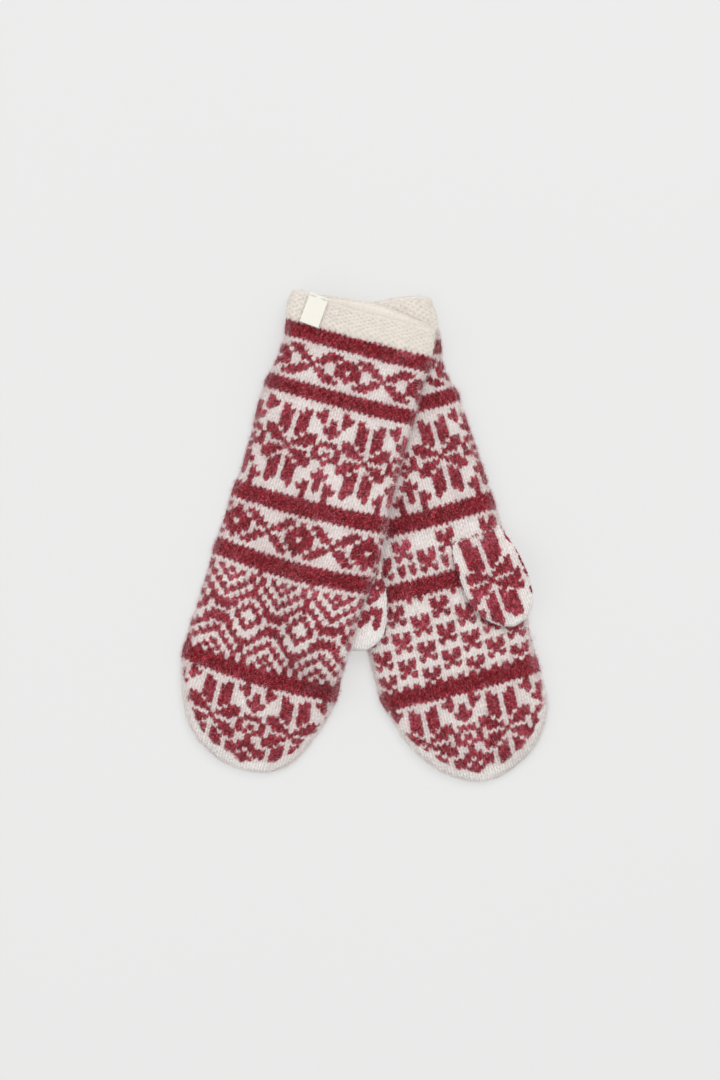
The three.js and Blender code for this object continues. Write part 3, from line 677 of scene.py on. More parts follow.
def fix_seam(uv, S, T, nt, edges, step, low):
    """Corner values on the first column of the lower half run on from its own edge."""
    uv = uv.reshape(S - 1, T, 4, 2)
    uv[:, nt - 1, 1, 0] = edges[0]
    uv[:, nt - 1, 2, 0] = edges[0]
    uv[:, nt, 0, 0] = edges[1]
    uv[:, nt, 3, 0] = edges[1]
    return uv.reshape(-1, 4, 2)


def orient(verts, quads, tris, uvq, uvt, sq, stt, n_outer):
    """All faces look out of the solid: the signed volume is positive."""
    V = np.asarray(verts)
    a, b, c, d = (V[quads[:, k]] for k in range(4))
    vol = np.sum(a * np.cross(b, c)) + np.sum(a * np.cross(c, d))
    e, f, g = (V[tris[:, k]] for k in range(3)) if len(tris) else (np.zeros((0, 3)),) * 3
    vol += np.sum(e * np.cross(f, g))
    if vol < 0:
        quads, uvq, sq = quads[:, ::-1], uvq[:, ::-1], sq[:, ::-1]
        tris, uvt, stt = tris[:, ::-1], uvt[:, ::-1], stt[:, ::-1]
    return quads, tris, uvq, uvt, sq, stt


def closed_tube(name, Q, cols, nt, pp, qq):
    """A pouch closed at both ends."""
    S, T = Q.shape[:2]
    verts = np.concatenate([Q.reshape(-1, 3), [Q[0].mean(0)], [Q[-1].mean(0)]])
    cc = np.concatenate([cols.reshape(-1, 3), [cols[0].mean(0)], [cols[-1].mean(0)]])
    outer = ring_faces(S, T)
    j = np.arange(T)
    a, b = S * T, S * T + 1
    last = (S - 1) * T
    t1 = np.stack([(j + 1) % T, j, np.full(T, a)], -1)
    t2 = np.stack([last + j, last + (j + 1) % T, np.full(T, b)], -1)
    su = np.concatenate([[0], np.cumsum(np.linalg.norm(np.diff(Q[:, nt // 2], axis=0), axis=1))])
    su = su / su[-1]
    U = np.zeros((S, T + 1)); V = np.zeros((S, T + 1))
    U[:, :nt + 1] = 0.004 + 0.490 * (np.arange(nt + 1) / nt)
    U[:, nt:] = 0.506 + 0.490 * (np.arange(T + 1 - nt) / nt)
    V[:] = (0.01 + 0.96 * su)[:, None]
    uo = fix_seam(corner_grid(S, T, U, V), S, T, nt, (0.494, 0.506), 1 / nt, (0.506, 0.996))
    ut = np.zeros((T, 3, 2)); ut[:, :, 0] = 0.004 + 0.99 * np.stack([j, j + 1, j + 0.5], -1) / T
    ut1, ut2 = ut.copy(), ut.copy()
    ut1[:, :, 1] = np.array([0.974, 0.974, 0.982]); ut2[:, :, 1] = np.array([0.985, 0.985, 0.994])
    so = corner_grid(S, T, wrap_cols(pp, nt), wrap_cols(qq, nt))
    zt = np.zeros((2 * T, 3, 2))
    quads, tris, uvq, uvt, sq, stt = orient(verts, outer, np.concatenate([t1, t2]), uo, np.concatenate([ut1, ut2]), so, zt, len(outer))
    return make_mesh(name, verts, quads, tris, np.concatenate([uvq.reshape(-1, 2), uvt.reshape(-1, 2)]),
                     np.concatenate([sq.reshape(-1, 2), stt.reshape(-1, 2)]), cc)


def thumb(name, table, place, z_of, centre, tilt, pitch, row_h, seed_, nt=112, upper=None):
    s0, s1 = table[0][0], table[-1][0]
    n = 250
    u = np.linspace(0, 1, n)
    # closer rings at both round ends
    g = np.sin(math.pi / 2 * u)
    st = s0 + (s1 - s0) * (0.45 * u + 0.55 * g)
    st = st[st < s1 - 0.02]
    l, r = outline(table, st)
    z0, thick = z_of(st, s0, s1)
    P, arc, X = tube(st, l, r, thick, z0, nt, place, level, shrink=0.4, powers=(2.0, 4.2))
    N = normals_of(P)
    mid = P.mean(1, keepdims=True)
    if np.mean(np.sum((P - mid) * N, 2)) < 0:
        N = -N
    S, T = X.shape
    s2 = np.repeat(st[:, None], T, 1)
    mid_x = ((l + r) / 2)[:, None]
    xa = mid_x + arc
    c, k = math.cos(math.radians(tilt)), math.sin(math.radians(tilt))
    dx, ds = xa - centre[0], s2 - centre[1]
    p = (dx * c - ds * k) / pitch
    q = 50.5 + (dx * k + ds * c) / row_h
    chart = thumb_chart()
    fields = knit_fields(p, q, chart if upper is None else upper, chart, nt, seed_, bold=0.12)
    red, h, each, each2, pp, qq = fields[:6]
    C = yarn_colour(fields, seed_)
    fadeout = smooth((s1 - s2) / 3)
    D = (0.80 * h + 0.10 * noise(pp * 5, qq * 5, seed_ + 31) + 0.08 * red - 0.1) * (0.25 + 0.75 * fadeout)
    D = D + 0.25 * noise(X / 12, s2 / 12, seed_ + 33) * fadeout * (np.arange(T)[None, :] < nt)
    Q = P + N * D[..., None]
    keep_surface(name, Q, N, C, nt)
    return closed_tube(name, Q, C, nt, pp, qq)


def mouth_shift(tables, x, low):
    """How far the mouth's edge lies from a straight line, for the upper and the lower layer."""
    up, down = (np.interp(x, [a for a, _ in t], [b for _, b in t]) for t in tables)
    return np.where(low, down, up)


def cuff(name, table, s_end, place, lift, seed_, mouth, nt=200, start=CAST_ON_D * 0.55):
    """Purl band: low bumps in a staggered lattice. A closed loop of wall: outer face, then inner face."""
    st = np.arange(start, s_end + 0.9, 0.42)
    l, r = outline(table, st)
    S = len(st)
    # the top rolls over a little and the last row tucks under the first red round
    thick = np.full(S, CUFF_T)
    tuck = smooth((st - (s_end - 2.2)) / 3.1)
    thick = thick - 1.2 * tuck
    z0 = 0.6 * tuck
    P, arc, X = tube(st, l + 0.5 * tuck, r - 0.5 * tuck, thick, z0, nt, place, lift, shrink=0.5)
    N = normals_of(P)
    mid = P.mean(1, keepdims=True)
    if np.mean(np.sum((P - mid) * N, 2)) < 0:
        N = -N
    T = 2 * nt
    s2 = np.repeat(st[:, None], T, 1)
    W = noise(arc / 9, s2 / 9, seed_ + 1) * 0.10
    pa, qa = arc / 4.5 + W + noise(arc / 2, s2 / 2, seed_ + 2) * 0.03, s2 / 3.1 + noise(arc / 5, s2 / 5, seed_ + 3) * 0.05
    lat = 0.5 + 0.5 * np.cos(2 * math.pi * pa) * np.cos(2 * math.pi * qa)
    h = lat ** 0.6
    low = np.arange(T)[None, :] >= nt
    D = 0.50 * h - 0.08 + 0.05 * noise(arc * 1.6, s2 * 1.6, seed_ + 4)
    swell = 0.25 * noise(X / 18, s2 / 12, seed_ + 6)
    D = D + np.where(low, 0, swell)
    Q = P + N * D[..., None]
    # each last stitch reaches a little over the red
    reach = smooth((s2 - (s_end - 2.6)) / 2.6) * (0.9 * np.abs(np.cos(math.pi * arc / 3.3)) + 0.1 + 0.5 * noise(arc / 0.9, s2 / 9, seed_ + 8))
    reach = reach + mouth_shift(mouth, X, low) * (1 - smooth((s2 - start) / (s_end - 4)))
    ex, ey = place(0, 1)[0] - place(0, 0)[0], place(0, 1)[1] - place(0, 0)[1]
    Q[..., 0] += ex * reach
    Q[..., 1] += ey * reach
    Q[..., 2] = np.maximum(Q[..., 2], 0.02)
    # painted shade: the dips between the purl bumps get a darker cream
    dip_shade = (1 - smooth(h * 1.3))[..., None]
    C = CUFF_CREAM * (1 - dip_shade) + np.array([0.650, 0.565, 0.500]) * dip_shade
    C = C * (1 + 0.025 * noise(arc * 1.1, s2 * 1.1, seed_ + 5))[..., None]
    warm = np.clip(noise(arc / 3, s2 / 3, seed_ + 9) * 0.5 + 0.2, 0, 1)[..., None]
    C = C * (1 - warm * 0.025 * np.array([0.2, 0.5, 1.3]))
    keep_surface(name, Q, N, C, nt)
    wi = CUFF_WALL
    Pi, _, Xi = tube(st[::3], (l + wi)[::3], (r - wi)[::3], (thick - 2 * wi)[::3], (z0 + wi)[::3], nt, place, lift, shrink=0.0)
    ai, sj = arc[::3], s2[::3]
    Ni = -normals_of(Pi)
    if np.mean(np.sum((Pi - Pi.mean(1, keepdims=True)) * Ni, 2)) > 0:
        Ni = -Ni
    hi = np.sin(ai * 2 * math.pi / 3.3) * 0.5 + 0.5
    Pi = Pi + Ni * (0.10 * hi)[..., None]
    more = mouth_shift(mouth, Xi, low) * (1 - smooth((sj - start) / (s_end - 4)))
    Pi[..., 0] += ex * more
    Pi[..., 1] += ey * more
    # painted light: the inner face is a little lighter overall and lighter still on its raised ribs
    Ci = CUFF_CREAM[None, None, :] * (1.06 + 0.04 * hi)[..., None]
    Si = Pi.shape[0]
    verts = np.concatenate([Q.reshape(-1, 3), Pi.reshape(-1, 3)])
    cols = np.concatenate([C.reshape(-1, 3), Ci.reshape(-1, 3)])
    n0 = S * T
    j = np.arange(T)
    outer, inner = ring_faces(S, T), flip(ring_faces(Si, T, n0))
    rim0 = np.stack([n0 + j, n0 + (j + 1) % T, (j + 1) % T, j], -1)
    lo, li = (S - 1) * T, n0 + (Si - 1) * T
    rim1 = np.stack([lo + j, lo + (j + 1) % T, li + (j + 1) % T, li + j], -1)
    U = np.zeros((S, T + 1)); V = np.zeros((S, T + 1))
    U[:] = 0.004 + 0.99 * (np.arange(T + 1) / T)
    V[:] = (0.01 + 0.52 * np.arange(S) / (S - 1))[:, None]
    uo = corner_grid(S, T, U, V)
    Ui = U[:Si]; Vi = np.repeat((0.56 + 0.36 * np.arange(Si) / (Si - 1))[:, None], T + 1, 1)
    ui = corner_grid(Si, T, Ui, Vi)[:, ::-1]
    ur = np.zeros((T, 4, 2)); ur[:, :, 0] = 0.004 + 0.99 * np.stack([j, j + 1, j + 1, j], -1) / T
    ur0, ur1 = ur.copy(), ur.copy()
    ur0[:, :, 1] = np.array([0.935, 0.935, 0.955, 0.955]); ur1[:, :, 1] = np.array([0.965, 0.965, 0.985, 0.985])
    so = corner_grid(S, T, wrap_cols(arc / 3.2, nt), wrap_cols(s2 / 2.6, nt))
    si = corner_grid(Si, T, wrap_cols(ai / 3.2, nt), wrap_cols(sj / 2.6, nt))[:, ::-1]
    z = np.zeros((T, 4, 2))
    quads = np.concatenate([outer, inner, rim0, rim1])
    uvq = np.concatenate([uo, ui, ur0, ur1]); sq = np.concatenate([so, si, z, z])
    quads, tris, uvq, _, sq, _ = orient(verts, quads, np.zeros((0, 3), int), uvq, np.zeros((0, 3, 2)), sq, np.zeros((0, 3, 2)), len(outer))
    return make_mesh(name, verts, quads, tris, uvq.reshape(-1, 2), sq.reshape(-1, 2), cols)


def sweep(name, path, radius_of, sides, closed, colour_of, twist=None, up=(0, 0, 1)):
    """A round strand along a path, its radius from the place along and round it."""
    path = np.asarray(path, float)
    n = len(path)
    if closed:
        tan = np.roll(path, -1, 0) - np.roll(path, 1, 0)
    else:
        tan = np.gradient(path, axis=0)
    tan /= np.linalg.norm(tan, axis=1, keepdims=True)
    up = np.asarray(up, float)
    u = np.cross(np.broadcast_to(up, tan.shape), tan)
    u /= np.maximum(np.linalg.norm(u, axis=1, keepdims=True), 1e-6)
    w = np.cross(tan, u)
    seg = np.linalg.norm(np.diff(path, axis=0), axis=1)
    length = np.concatenate([[0], np.cumsum(seg)])
    ang = 2 * math.pi * np.arange(sides) / sides
    L, A = np.meshgrid(length, ang, indexing="ij")
    R = radius_of(L, A)
    P = path[:, None, :] + u[:, None, :] * (R * np.cos(A))[..., None] + w[:, None, :] * (R * np.sin(A))[..., None]
    C = colour_of(L, A)
    return P, C, L, A


def sweep_mesh(name, P, C, L, closed):
    n, sides = P.shape[:2]
    verts = P.reshape(-1, 3)
    cols = C.reshape(-1, 3)
    i, j = np.meshgrid(np.arange(n if closed else n - 1), np.arange(sides), indexing="ij")
    i2 = (i + 1) % n
    quads = np.stack([i * sides + j, i * sides + (j + 1) % sides, i2 * sides + (j + 1) % sides, i2 * sides + j], -1).reshape(-1, 4)
    m = n if closed else n - 1
    u0, u1 = i / m, (i + 1) / m
    v0, v1 = j / sides, (j + 1) / sides
    # a long strand is laid out in rows so that it gets room
    rows = 8
    def lay(u, v, base):
        k = np.floor(np.minimum(base, 0.999999) * rows)
        return np.stack([np.clip(u * rows - k, 0, 1) * 0.98 + 0.01, (k + 0.06 + v * 0.86) / rows], -1)
    uv = np.stack([lay(u0, v0, u0), lay(u0, v1, u0), lay(u1, v1, u0), lay(u1, v0, u0)], 2).reshape(-1, 4, 2)
    Lm = L[-1, 0] if len(L) else 1
    stq = np.stack([np.stack([u0 * Lm, v0 * 4], -1), np.stack([u0 * Lm, v1 * 4], -1), np.stack([u1 * Lm, v1 * 4], -1), np.stack([u1 * Lm, v0 * 4], -1)], 2).reshape(-1, 4, 2)
    tris = np.zeros((0, 3), int); uvt = np.zeros((0, 3, 2)); stt = np.zeros((0, 3, 2))
    if not closed:
        verts = np.concatenate([verts, [P[0].mean(0)], [P[-1].mean(0)]])
        cols = np.concatenate([cols, [C[0].mean(0)], [C[-1].mean(0)]])
        k = np.arange(sides)
        a, b = n * sides, n * sides + 1
        tris = np.concatenate([np.stack([(k + 1) % sides, k, np.full(sides, a)], -1),
                               np.stack([(n - 1) * sides + k, (n - 1) * sides + (k + 1) % sides, np.full(sides, b)], -1)])
        uvt = np.full((2 * sides, 3, 2), 0.003) + np.array([[0, 0], [0.003, 0], [0, 0.003]])
        stt = np.zeros((2 * sides, 3, 2))
    quads, tris, uvq, uvt, sq, stt = orient(verts, quads, tris, uv, uvt, stq, stt, len(quads))
    return make_mesh(name, verts, quads, tris, np.concatenate([uvq.reshape(-1, 2), uvt.reshape(-1, 2)]),
                     np.concatenate([sq.reshape(-1, 2), stt.reshape(-1, 2)]), cols)


def resample(path, step, closed=False):
    path = np.asarray(path, float)
    if closed:
        path = np.concatenate([path, path[:1]])
    d = np.concatenate([[0], np.cumsum(np.linalg.norm(np.diff(path, axis=0), axis=1))])
    n = max(4, int(round(d[-1] / step)))
    t = np.linspace(0, d[-1], n + 1)
    out = np.stack([np.interp(t, d, path[:, k]) for k in range(3)], -1)
    return out[:-1] if closed else out


def plied_yarn(name, path, diameter, colour, seed_):
    """Two plies twisted round each other: two lobes that turn along the strand, with fibre grain."""
    pts = resample(path, 0.22)
    R = diameter / 2
    def radius(L, A):
        turn = A - L * 2 * math.pi / 4.2
        lobes = 0.70 + 0.30 * np.abs(np.cos(turn))
        return R * (lobes + 0.06 * noise(L * 4, A * 2, seed_))
    def col(L, A):
        turn = A - L * 2 * math.pi / 4.2
        # painted shade: darker in the groove between the two plies and lighter on their crowns, plus fibre grain noise
        s = 0.80 + 0.20 * np.abs(np.cos(turn)) + 0.06 * noise(L * 5, A * 3, seed_ + 1)
        return colour[None, None, :] * s[..., None]
    P, C, L, A = sweep(name, pts, radius, 12, False, col)
    return sweep_mesh(name, P, C, L, False)


def cast_on(name, table, place, lift, seed_, mouth):
    """The rope of the first round: strands that lean one way and overlap like a chain."""
    s = CAST_ON_D / 2
    d = CAST_ON_D / 2 + 0.05
    l, r = outline(table, np.array([s]))
    a, c = (r[0] - l[0]) / 2 - d - 0.1, (l[0] + r[0]) / 2
    x, z, _ = section(a, CUFF_T / 2 - d, 260, 7.0)
    xs, zs = np.concatenate([x[:-1], x[::-1][:-1]]), np.concatenate([z[:-1], -z[::-1][:-1]])
    X, Y = place(c + xs, s)
    low = np.arange(len(xs)) >= len(x) - 1
    more = mouth_shift(mouth, c + xs, low)
    Z = CUFF_T / 2 + zs + lift(X, Y)
    X, Y = place(c + xs, s + more)
    path = np.stack([X, Y, Z], -1)
    pts = resample(path, 0.36, True)
    # steady frame for a flat loop: one axis across the loop, the other along the mitten
    n = len(pts)
    tan = np.roll(pts, -1, 0) - np.roll(pts, 1, 0)
    tan /= np.linalg.norm(tan, axis=1, keepdims=True)
    ax = np.array([place(0, 1)[0] - place(0, 0)[0], place(0, 1)[1] - place(0, 0)[1], 0.0])
    u = np.broadcast_to(ax, tan.shape) - tan * (tan @ ax)[:, None]
    u /= np.linalg.norm(u, axis=1, keepdims=True)
    w = np.cross(u, tan)
    seg = np.linalg.norm(np.diff(pts, axis=0), axis=1)
    length = np.concatenate([[0], np.cumsum(seg)])
    total = length[-1] + np.linalg.norm(pts[0] - pts[-1])
    beads = round(total / 3.3)
    sides = 18
    ang = 2 * math.pi * np.arange(sides) / sides
    L, A = np.meshgrid(length, ang, indexing="ij")
    turn = L / total * beads * 2 * math.pi + 1.3 * np.sin(A)
    R = CAST_ON_D / 2 * (0.86 + 0.17 * np.abs(np.sin(turn / 2 + 0.4)) ** 0.7 + 0.05 * noise(L * 1.8, A * 2, seed_))
    P = pts[:, None, :] + u[:, None, :] * (R * np.cos(A))[..., None] + w[:, None, :] * (R * np.sin(A))[..., None]
    P[..., 2] = np.maximum(P[..., 2], 0.02)
    # painted shade: the rope is darker in the necks between its beads and lighter on their bulges, with a little noise
    bead_shade = 0.93 + 0.07 * np.abs(np.sin(turn / 2 + 0.4)) ** 0.6 + 0.03 * noise(L * 2.2, A * 2, seed_ + 1)
    C = CUFF_CREAM[None, None, :] * bead_shade[..., None]
    outn = P - pts[:, None, :]
    outn /= np.linalg.norm(outn, axis=2, keepdims=True)
    keep_surface(name, P, outn, C, sides)
    return sweep_mesh(name, P, C, L, True)


# ------------------------------------------------------------------ loose fibres
def fibres(name, keys, count, seed_, part="all", length=(2.6, 6.5), radius=(0.035, 0.062), lift=(0.05, 0.38), tint=None, keep=None, weights=None):
    """Fine curved hairs brushed out of the yarn: closed three-sided strands, each tapering to its end."""
    rng = np.random.default_rng(seed_)
    roots, norms, cols, t1s, t2s = [], [], [], [], []
    weights = weights or [1.0 / len(keys)] * len(keys)
    for key, share in zip(keys, weights):
        P, N, C, nt = SURF[key]
        S, T = P.shape[:2]
        m = int(round(count * share))
        # ask for more than needed and keep by area
        i = rng.integers(1, S - 1, m * 3)
        if part == "upper":
            j = rng.integers(0, nt, m * 3)
        elif part == "side":
            w = nt // 22
            j = (rng.choice([0, nt], m * 3) + rng.integers(-w, w + 1, m * 3)) % T
        elif part == "lower":
            j = rng.integers(nt, T, m * 3)
        else:
            j = rng.integers(0, T, m * 3)
        area = np.linalg.norm(P[i + 1, j] - P[i - 1, j], axis=1) * np.linalg.norm(P[i, (j + 1) % T] - P[i, j - 1], axis=1)
        ok = rng.random(len(i)) < area / max(np.percentile(area, 97), 1e-9)
        if keep is not None:
            ok &= keep(P[i, j], rng.random(len(i)))
        i, j = i[ok][:m], j[ok][:m]
        roots.append(P[i, j]); norms.append(N[i, j]); cols.append(C[i, j])
        a = P[i, (j + 1) % T] - P[i, j - 1]
        t1s.append(a / np.maximum(np.linalg.norm(a, axis=1, keepdims=True), 1e-9))
    R, N, C, T1 = map(np.concatenate, (roots, norms, cols, t1s))
    T1 = T1 - N * np.sum(T1 * N, 1, keepdims=True)
    T1 /= np.maximum(np.linalg.norm(T1, axis=1, keepdims=True), 1e-9)
    T2 = np.cross(N, T1)
    n = len(R)
    phi = rng.random(n) * 2 * math.pi
    L = rng.uniform(*length, n) * (0.55 + 0.45 * rng.random(n))
    d = T1 * np.cos(phi)[:, None] + T2 * np.sin(phi)[:, None]
    side = -T1 * np.sin(phi)[:, None] + T2 * np.cos(phi)[:, None]
    rise = rng.uniform(*lift, n) * (1 + 0.8 * (rng.random(n) > 0.9))
    curl = rng.normal(0, 0.45, n)
    rad = rng.uniform(*radius, n)
    ts = np.array([0.0, 0.30, 0.64, 1.0])
    taper = np.array([0.9, 1.0, 0.8, 0.25])
    pts, prev = [], None
    for t in ts:
        out = rise * t - rise * 0.75 * t * t + 0.02
        pts.append(R + L[:, None] * (d * (t - 0.10 * t ** 3 * np.abs(curl)[:, None]) + side * (curl * t * t * 0.7)[:, None] + N * out[:, None]))
    pts = np.stack(pts, 1)                                   # n, 5, 3
    # no hair may pass through what the object stands on
    pts[:, :, 2] = np.maximum(pts[:, :, 2], 0.08)
    tan = np.gradient(pts, axis=1)
    tan /= np.maximum(np.linalg.norm(tan, axis=2, keepdims=True), 1e-9)
    u = np.cross(tan, N[:, None, :])
    u /= np.maximum(np.linalg.norm(u, axis=2, keepdims=True), 1e-9)
    w = np.cross(u, tan)
    ring = []
    for k in range(3):
        a = 2 * math.pi * k / 3
        ring.append(pts + (rad[:, None] * taper[None, :])[..., None] * (u * math.cos(a) + w * math.sin(a)))
    V = np.stack(ring, 2)                                    # n, 5, 3, 3
    m = len(ts)
    V = V.reshape(n, m * 3, 3)
    base = np.arange(n)[:, None] * (m * 3)
    q = []
    for s in range(m - 1):
        for k in range(3):
            k2 = (k + 1) % 3
            q.append([s * 3 + k, s * 3 + k2, (s + 1) * 3 + k2, (s + 1) * 3 + k])
    q = np.array(q)
    quads = (base[:, :, None] + q[None]).reshape(-1, 4)
    e = (m - 1) * 3
    tri = np.array([[2, 1, 0], [e, e + 1, e + 2]])
    tris = (base[:, :, None] + tri[None]).reshape(-1, 3)
    fc = C.copy()
    if tint is not None:
        fc = tint(fc, rng)
    fc = fc * rng.uniform(0.88, 1.12, (n, 1))
    cols = np.repeat(fc[:, None, :], m * 3, 1).reshape(-1, 3)
    # each hair has its own small cell of the layout
    side_n = int(math.ceil(math.sqrt(n)))
    cell = 1.0 / side_n
    cx, cy = (np.arange(n) % side_n) * cell, (np.arange(n) // side_n) * cell
    qu = np.zeros((len(q), 4, 2))
    for f in range(len(q)):
        s, k = divmod(f, 3)
        qu[f] = [[s / (m - 1), k / 3], [s / (m - 1), (k + 1) / 3], [(s + 1) / (m - 1), (k + 1) / 3], [(s + 1) / (m - 1), k / 3]]
    qu = 0.1 + 0.8 * qu
    uvq = np.stack([cx, cy], -1)[:, None, None, :] + cell * qu[None]
    tu = np.array([[[0.1, 0.1], [0.1, 0.2], [0.2, 0.1]], [[0.8, 0.8], [0.8, 0.9], [0.9, 0.8]]])
    uvt = np.stack([cx, cy], -1)[:, None, None, :] + cell * tu[None]
    verts = V.reshape(-1, 3)
    a, b, c, d_ = (verts[quads[:, k]] for k in range(4))
    vol = np.sum((a - pts[0, 0]) * np.cross(b - a, c - a))
    if vol < 0:
        quads, tris, uvq, uvt = quads[:, ::-1], tris[:, ::-1], uvq[:, :, ::-1], uvt[:, :, ::-1]
    return make_mesh(name, verts, quads, tris, np.concatenate([uvq.reshape(-1, 2), uvt.reshape(-1, 2)]), None, np.clip(cols, 0, 1))


# ------------------------------------------------------------------ materials
def new_material(name, roughness, sheen, sheen_roughness=0.5, sheen_tint=(1, 1, 1)):
    m = bpy.data.materials.new(name)
    m.use_nodes = True
    nt = m.node_tree
    b = nt.nodes["Principled BSDF"]
    b.inputs["Roughness"].default_value = roughness
    b.inputs["Sheen Weight"].default_value = sheen
    b.inputs["Sheen Roughness"].default_value = sheen_roughness
    b.inputs["Sheen Tint"].default_value = (*sheen_tint, 1)
    b.inputs["Specular IOR Level"].default_value = 0.18
    return m, nt, b


def wool(name, sheen=0.25, grain=1.0, bump=0.35, streak=0.16, roughness=0.95, sheen_tint=(1, 0.97, 0.95)):
    """Yarn colour from the knitting, fibre streaks along the stitches, and a fine fibrous surface."""
    m, nt, b = new_material(name, roughness, sheen, 0.55, sheen_tint)
    N, Lk = nt.nodes, nt.links
    at = N.new("ShaderNodeAttribute"); at.attribute_name = "yarn"
    uv = N.new("ShaderNodeUVMap"); uv.uv_map = "stitch"
    mp = N.new("ShaderNodeMapping"); mp.inputs["Scale"].default_value = (9.0 * grain, 3.0 * grain, 1)
    n1 = N.new("ShaderNodeTexNoise"); n1.inputs["Scale"].default_value = 1.0; n1.inputs["Detail"].default_value = 3.0; n1.inputs["Roughness"].default_value = 0.6
    co = N.new("ShaderNodeTexCoord")
    n2 = N.new("ShaderNodeTexNoise"); n2.inputs["Scale"].default_value = 3200.0; n2.inputs["Detail"].default_value = 2.0
    Lk.new(uv.outputs["UV"], mp.inputs["Vector"]); Lk.new(mp.outputs["Vector"], n1.inputs["Vector"])
    Lk.new(co.outputs["Object"], n2.inputs["Vector"])
    r1 = N.new("ShaderNodeMapRange"); r1.inputs["From Min"].default_value = 0.3; r1.inputs["From Max"].default_value = 0.7
    r1.inputs["To Min"].default_value = 1 - streak; r1.inputs["To Max"].default_value = 1 + streak
    Lk.new(n1.outputs["Fac"], r1.inputs["Value"])
    r2 = N.new("ShaderNodeMapRange"); r2.inputs["From Min"].default_value = 0.3; r2.inputs["From Max"].default_value = 0.7
    r2.inputs["To Min"].default_value = 1 - streak * 0.7; r2.inputs["To Max"].default_value = 1 + streak * 0.7
    Lk.new(n2.outputs["Fac"], r2.inputs["Value"])
    mu = N.new("ShaderNodeMath"); mu.operation = "MULTIPLY"
    Lk.new(r1.outputs["Result"], mu.inputs[0]); Lk.new(r2.outputs["Result"], mu.inputs[1])
    sc = N.new("ShaderNodeVectorMath"); sc.operation = "SCALE"
    Lk.new(at.outputs["Color"], sc.inputs[0]); Lk.new(mu.outputs["Value"], sc.inputs["Scale"])
    Lk.new(sc.outputs["Vector"], b.inputs["Base Color"])
    add = N.new("ShaderNodeMath"); add.operation = "ADD"
    Lk.new(n1.outputs["Fac"], add.inputs[0]); Lk.new(n2.outputs["Fac"], add.inputs[1])
    bp = N.new("ShaderNodeBump"); bp.inputs["Strength"].default_value = bump; bp.inputs["Distance"].default_value = 0.0004
    Lk.new(add.outputs["Value"], bp.inputs["Height"]); Lk.new(bp.outputs["Normal"], b.inputs["Normal"])
    rr = N.new("ShaderNodeMapRange"); rr.inputs["To Min"].default_value = roughness - 0.10; rr.inputs["To Max"].default_value = min(1, roughness + 0.05)
    Lk.new(n2.outputs["Fac"], rr.inputs["Value"]); Lk.new(rr.outputs["Result"], b.inputs["Roughness"])
    return m


def hair_material(name):
    m, nt, b = new_material(name, 0.8, 0.15, 0.5)
    N, Lk = nt.nodes, nt.links
    at = N.new("ShaderNodeAttribute"); at.attribute_name = "yarn"
    co = N.new("ShaderNodeTexCoord")
    n2 = N.new("ShaderNodeTexNoise"); n2.inputs["Scale"].default_value = 900.0; n2.inputs["Detail"].default_value = 2.0
    Lk.new(co.outputs["Object"], n2.inputs["Vector"])
    r2 = N.new("ShaderNodeMapRange"); r2.inputs["To Min"].default_value = 0.8; r2.inputs["To Max"].default_value = 1.2
    Lk.new(n2.outputs["Fac"], r2.inputs["Value"])
    sc = N.new("ShaderNodeVectorMath"); sc.operation = "SCALE"
    Lk.new(at.outputs["Color"], sc.inputs[0]); Lk.new(r2.outputs["Result"], sc.inputs["Scale"])
    Lk.new(sc.outputs["Vector"], b.inputs["Base Color"])
    return m


def label_material():
    m, nt, b = new_material("woven_label", 0.62, 0.12, 0.4)
    N, Lk = nt.nodes, nt.links
    uv = N.new("ShaderNodeUVMap"); uv.uv_map = "stitch"
    # warp and weft of a satin ribbon, 0.28 mm apart
    sep = N.new("ShaderNodeSeparateXYZ"); Lk.new(uv.outputs["UV"], sep.inputs[0])
    def wave(src, freq, phase=0.0):
        a = N.new("ShaderNodeMath"); a.operation = "MULTIPLY_ADD"; a.inputs[1].default_value = freq; a.inputs[2].default_value = phase
        Lk.new(src, a.inputs[0])
        s = N.new("ShaderNodeMath"); s.operation = "SINE"; Lk.new(a.outputs[0], s.inputs[0])
        return s.outputs[0]
    wx = wave(sep.outputs["X"], 2 * math.pi / 0.30)
    wy = wave(sep.outputs["Y"], 2 * math.pi / 0.42)
    tw = N.new("ShaderNodeMath"); tw.operation = "MULTIPLY"; Lk.new(wx, tw.inputs[0]); Lk.new(wy, tw.inputs[1])
    no = N.new("ShaderNodeTexNoise"); no.inputs["Scale"].default_value = 1.3; no.inputs["Detail"].default_value = 3
    Lk.new(uv.outputs["UV"], no.inputs["Vector"])
    mix = N.new("ShaderNodeMath"); mix.operation = "MULTIPLY_ADD"; mix.inputs[1].default_value = 0.35
    Lk.new(tw.outputs[0], mix.inputs[0]); Lk.new(no.outputs["Fac"], mix.inputs[2])
    ramp = N.new("ShaderNodeMapRange"); ramp.inputs["From Min"].default_value = 0.1; ramp.inputs["From Max"].default_value = 0.9
    ramp.inputs["To Min"].default_value = 0.93; ramp.inputs["To Max"].default_value = 1.03
    Lk.new(mix.outputs[0], ramp.inputs["Value"])
    sc = N.new("ShaderNodeVectorMath"); sc.operation = "SCALE"; sc.inputs[0].default_value = (0.850, 0.825, 0.750)
    Lk.new(ramp.outputs["Result"], sc.inputs["Scale"]); Lk.new(sc.outputs["Vector"], b.inputs["Base Color"])
    bp = N.new("ShaderNodeBump"); bp.inputs["Strength"].default_value = 0.35; bp.inputs["Distance"].default_value = 0.00012
    Lk.new(mix.outputs[0], bp.inputs["Height"]); Lk.new(bp.outputs["Normal"], b.inputs["Normal"])
    rr = N.new("ShaderNodeMapRange"); rr.inputs["To Min"].default_value = 0.55; rr.inputs["To Max"].default_value = 0.72
    Lk.new(no.outputs["Fac"], rr.inputs["Value"]); Lk.new(rr.outputs["Result"], b.inputs["Roughness"])
    return m


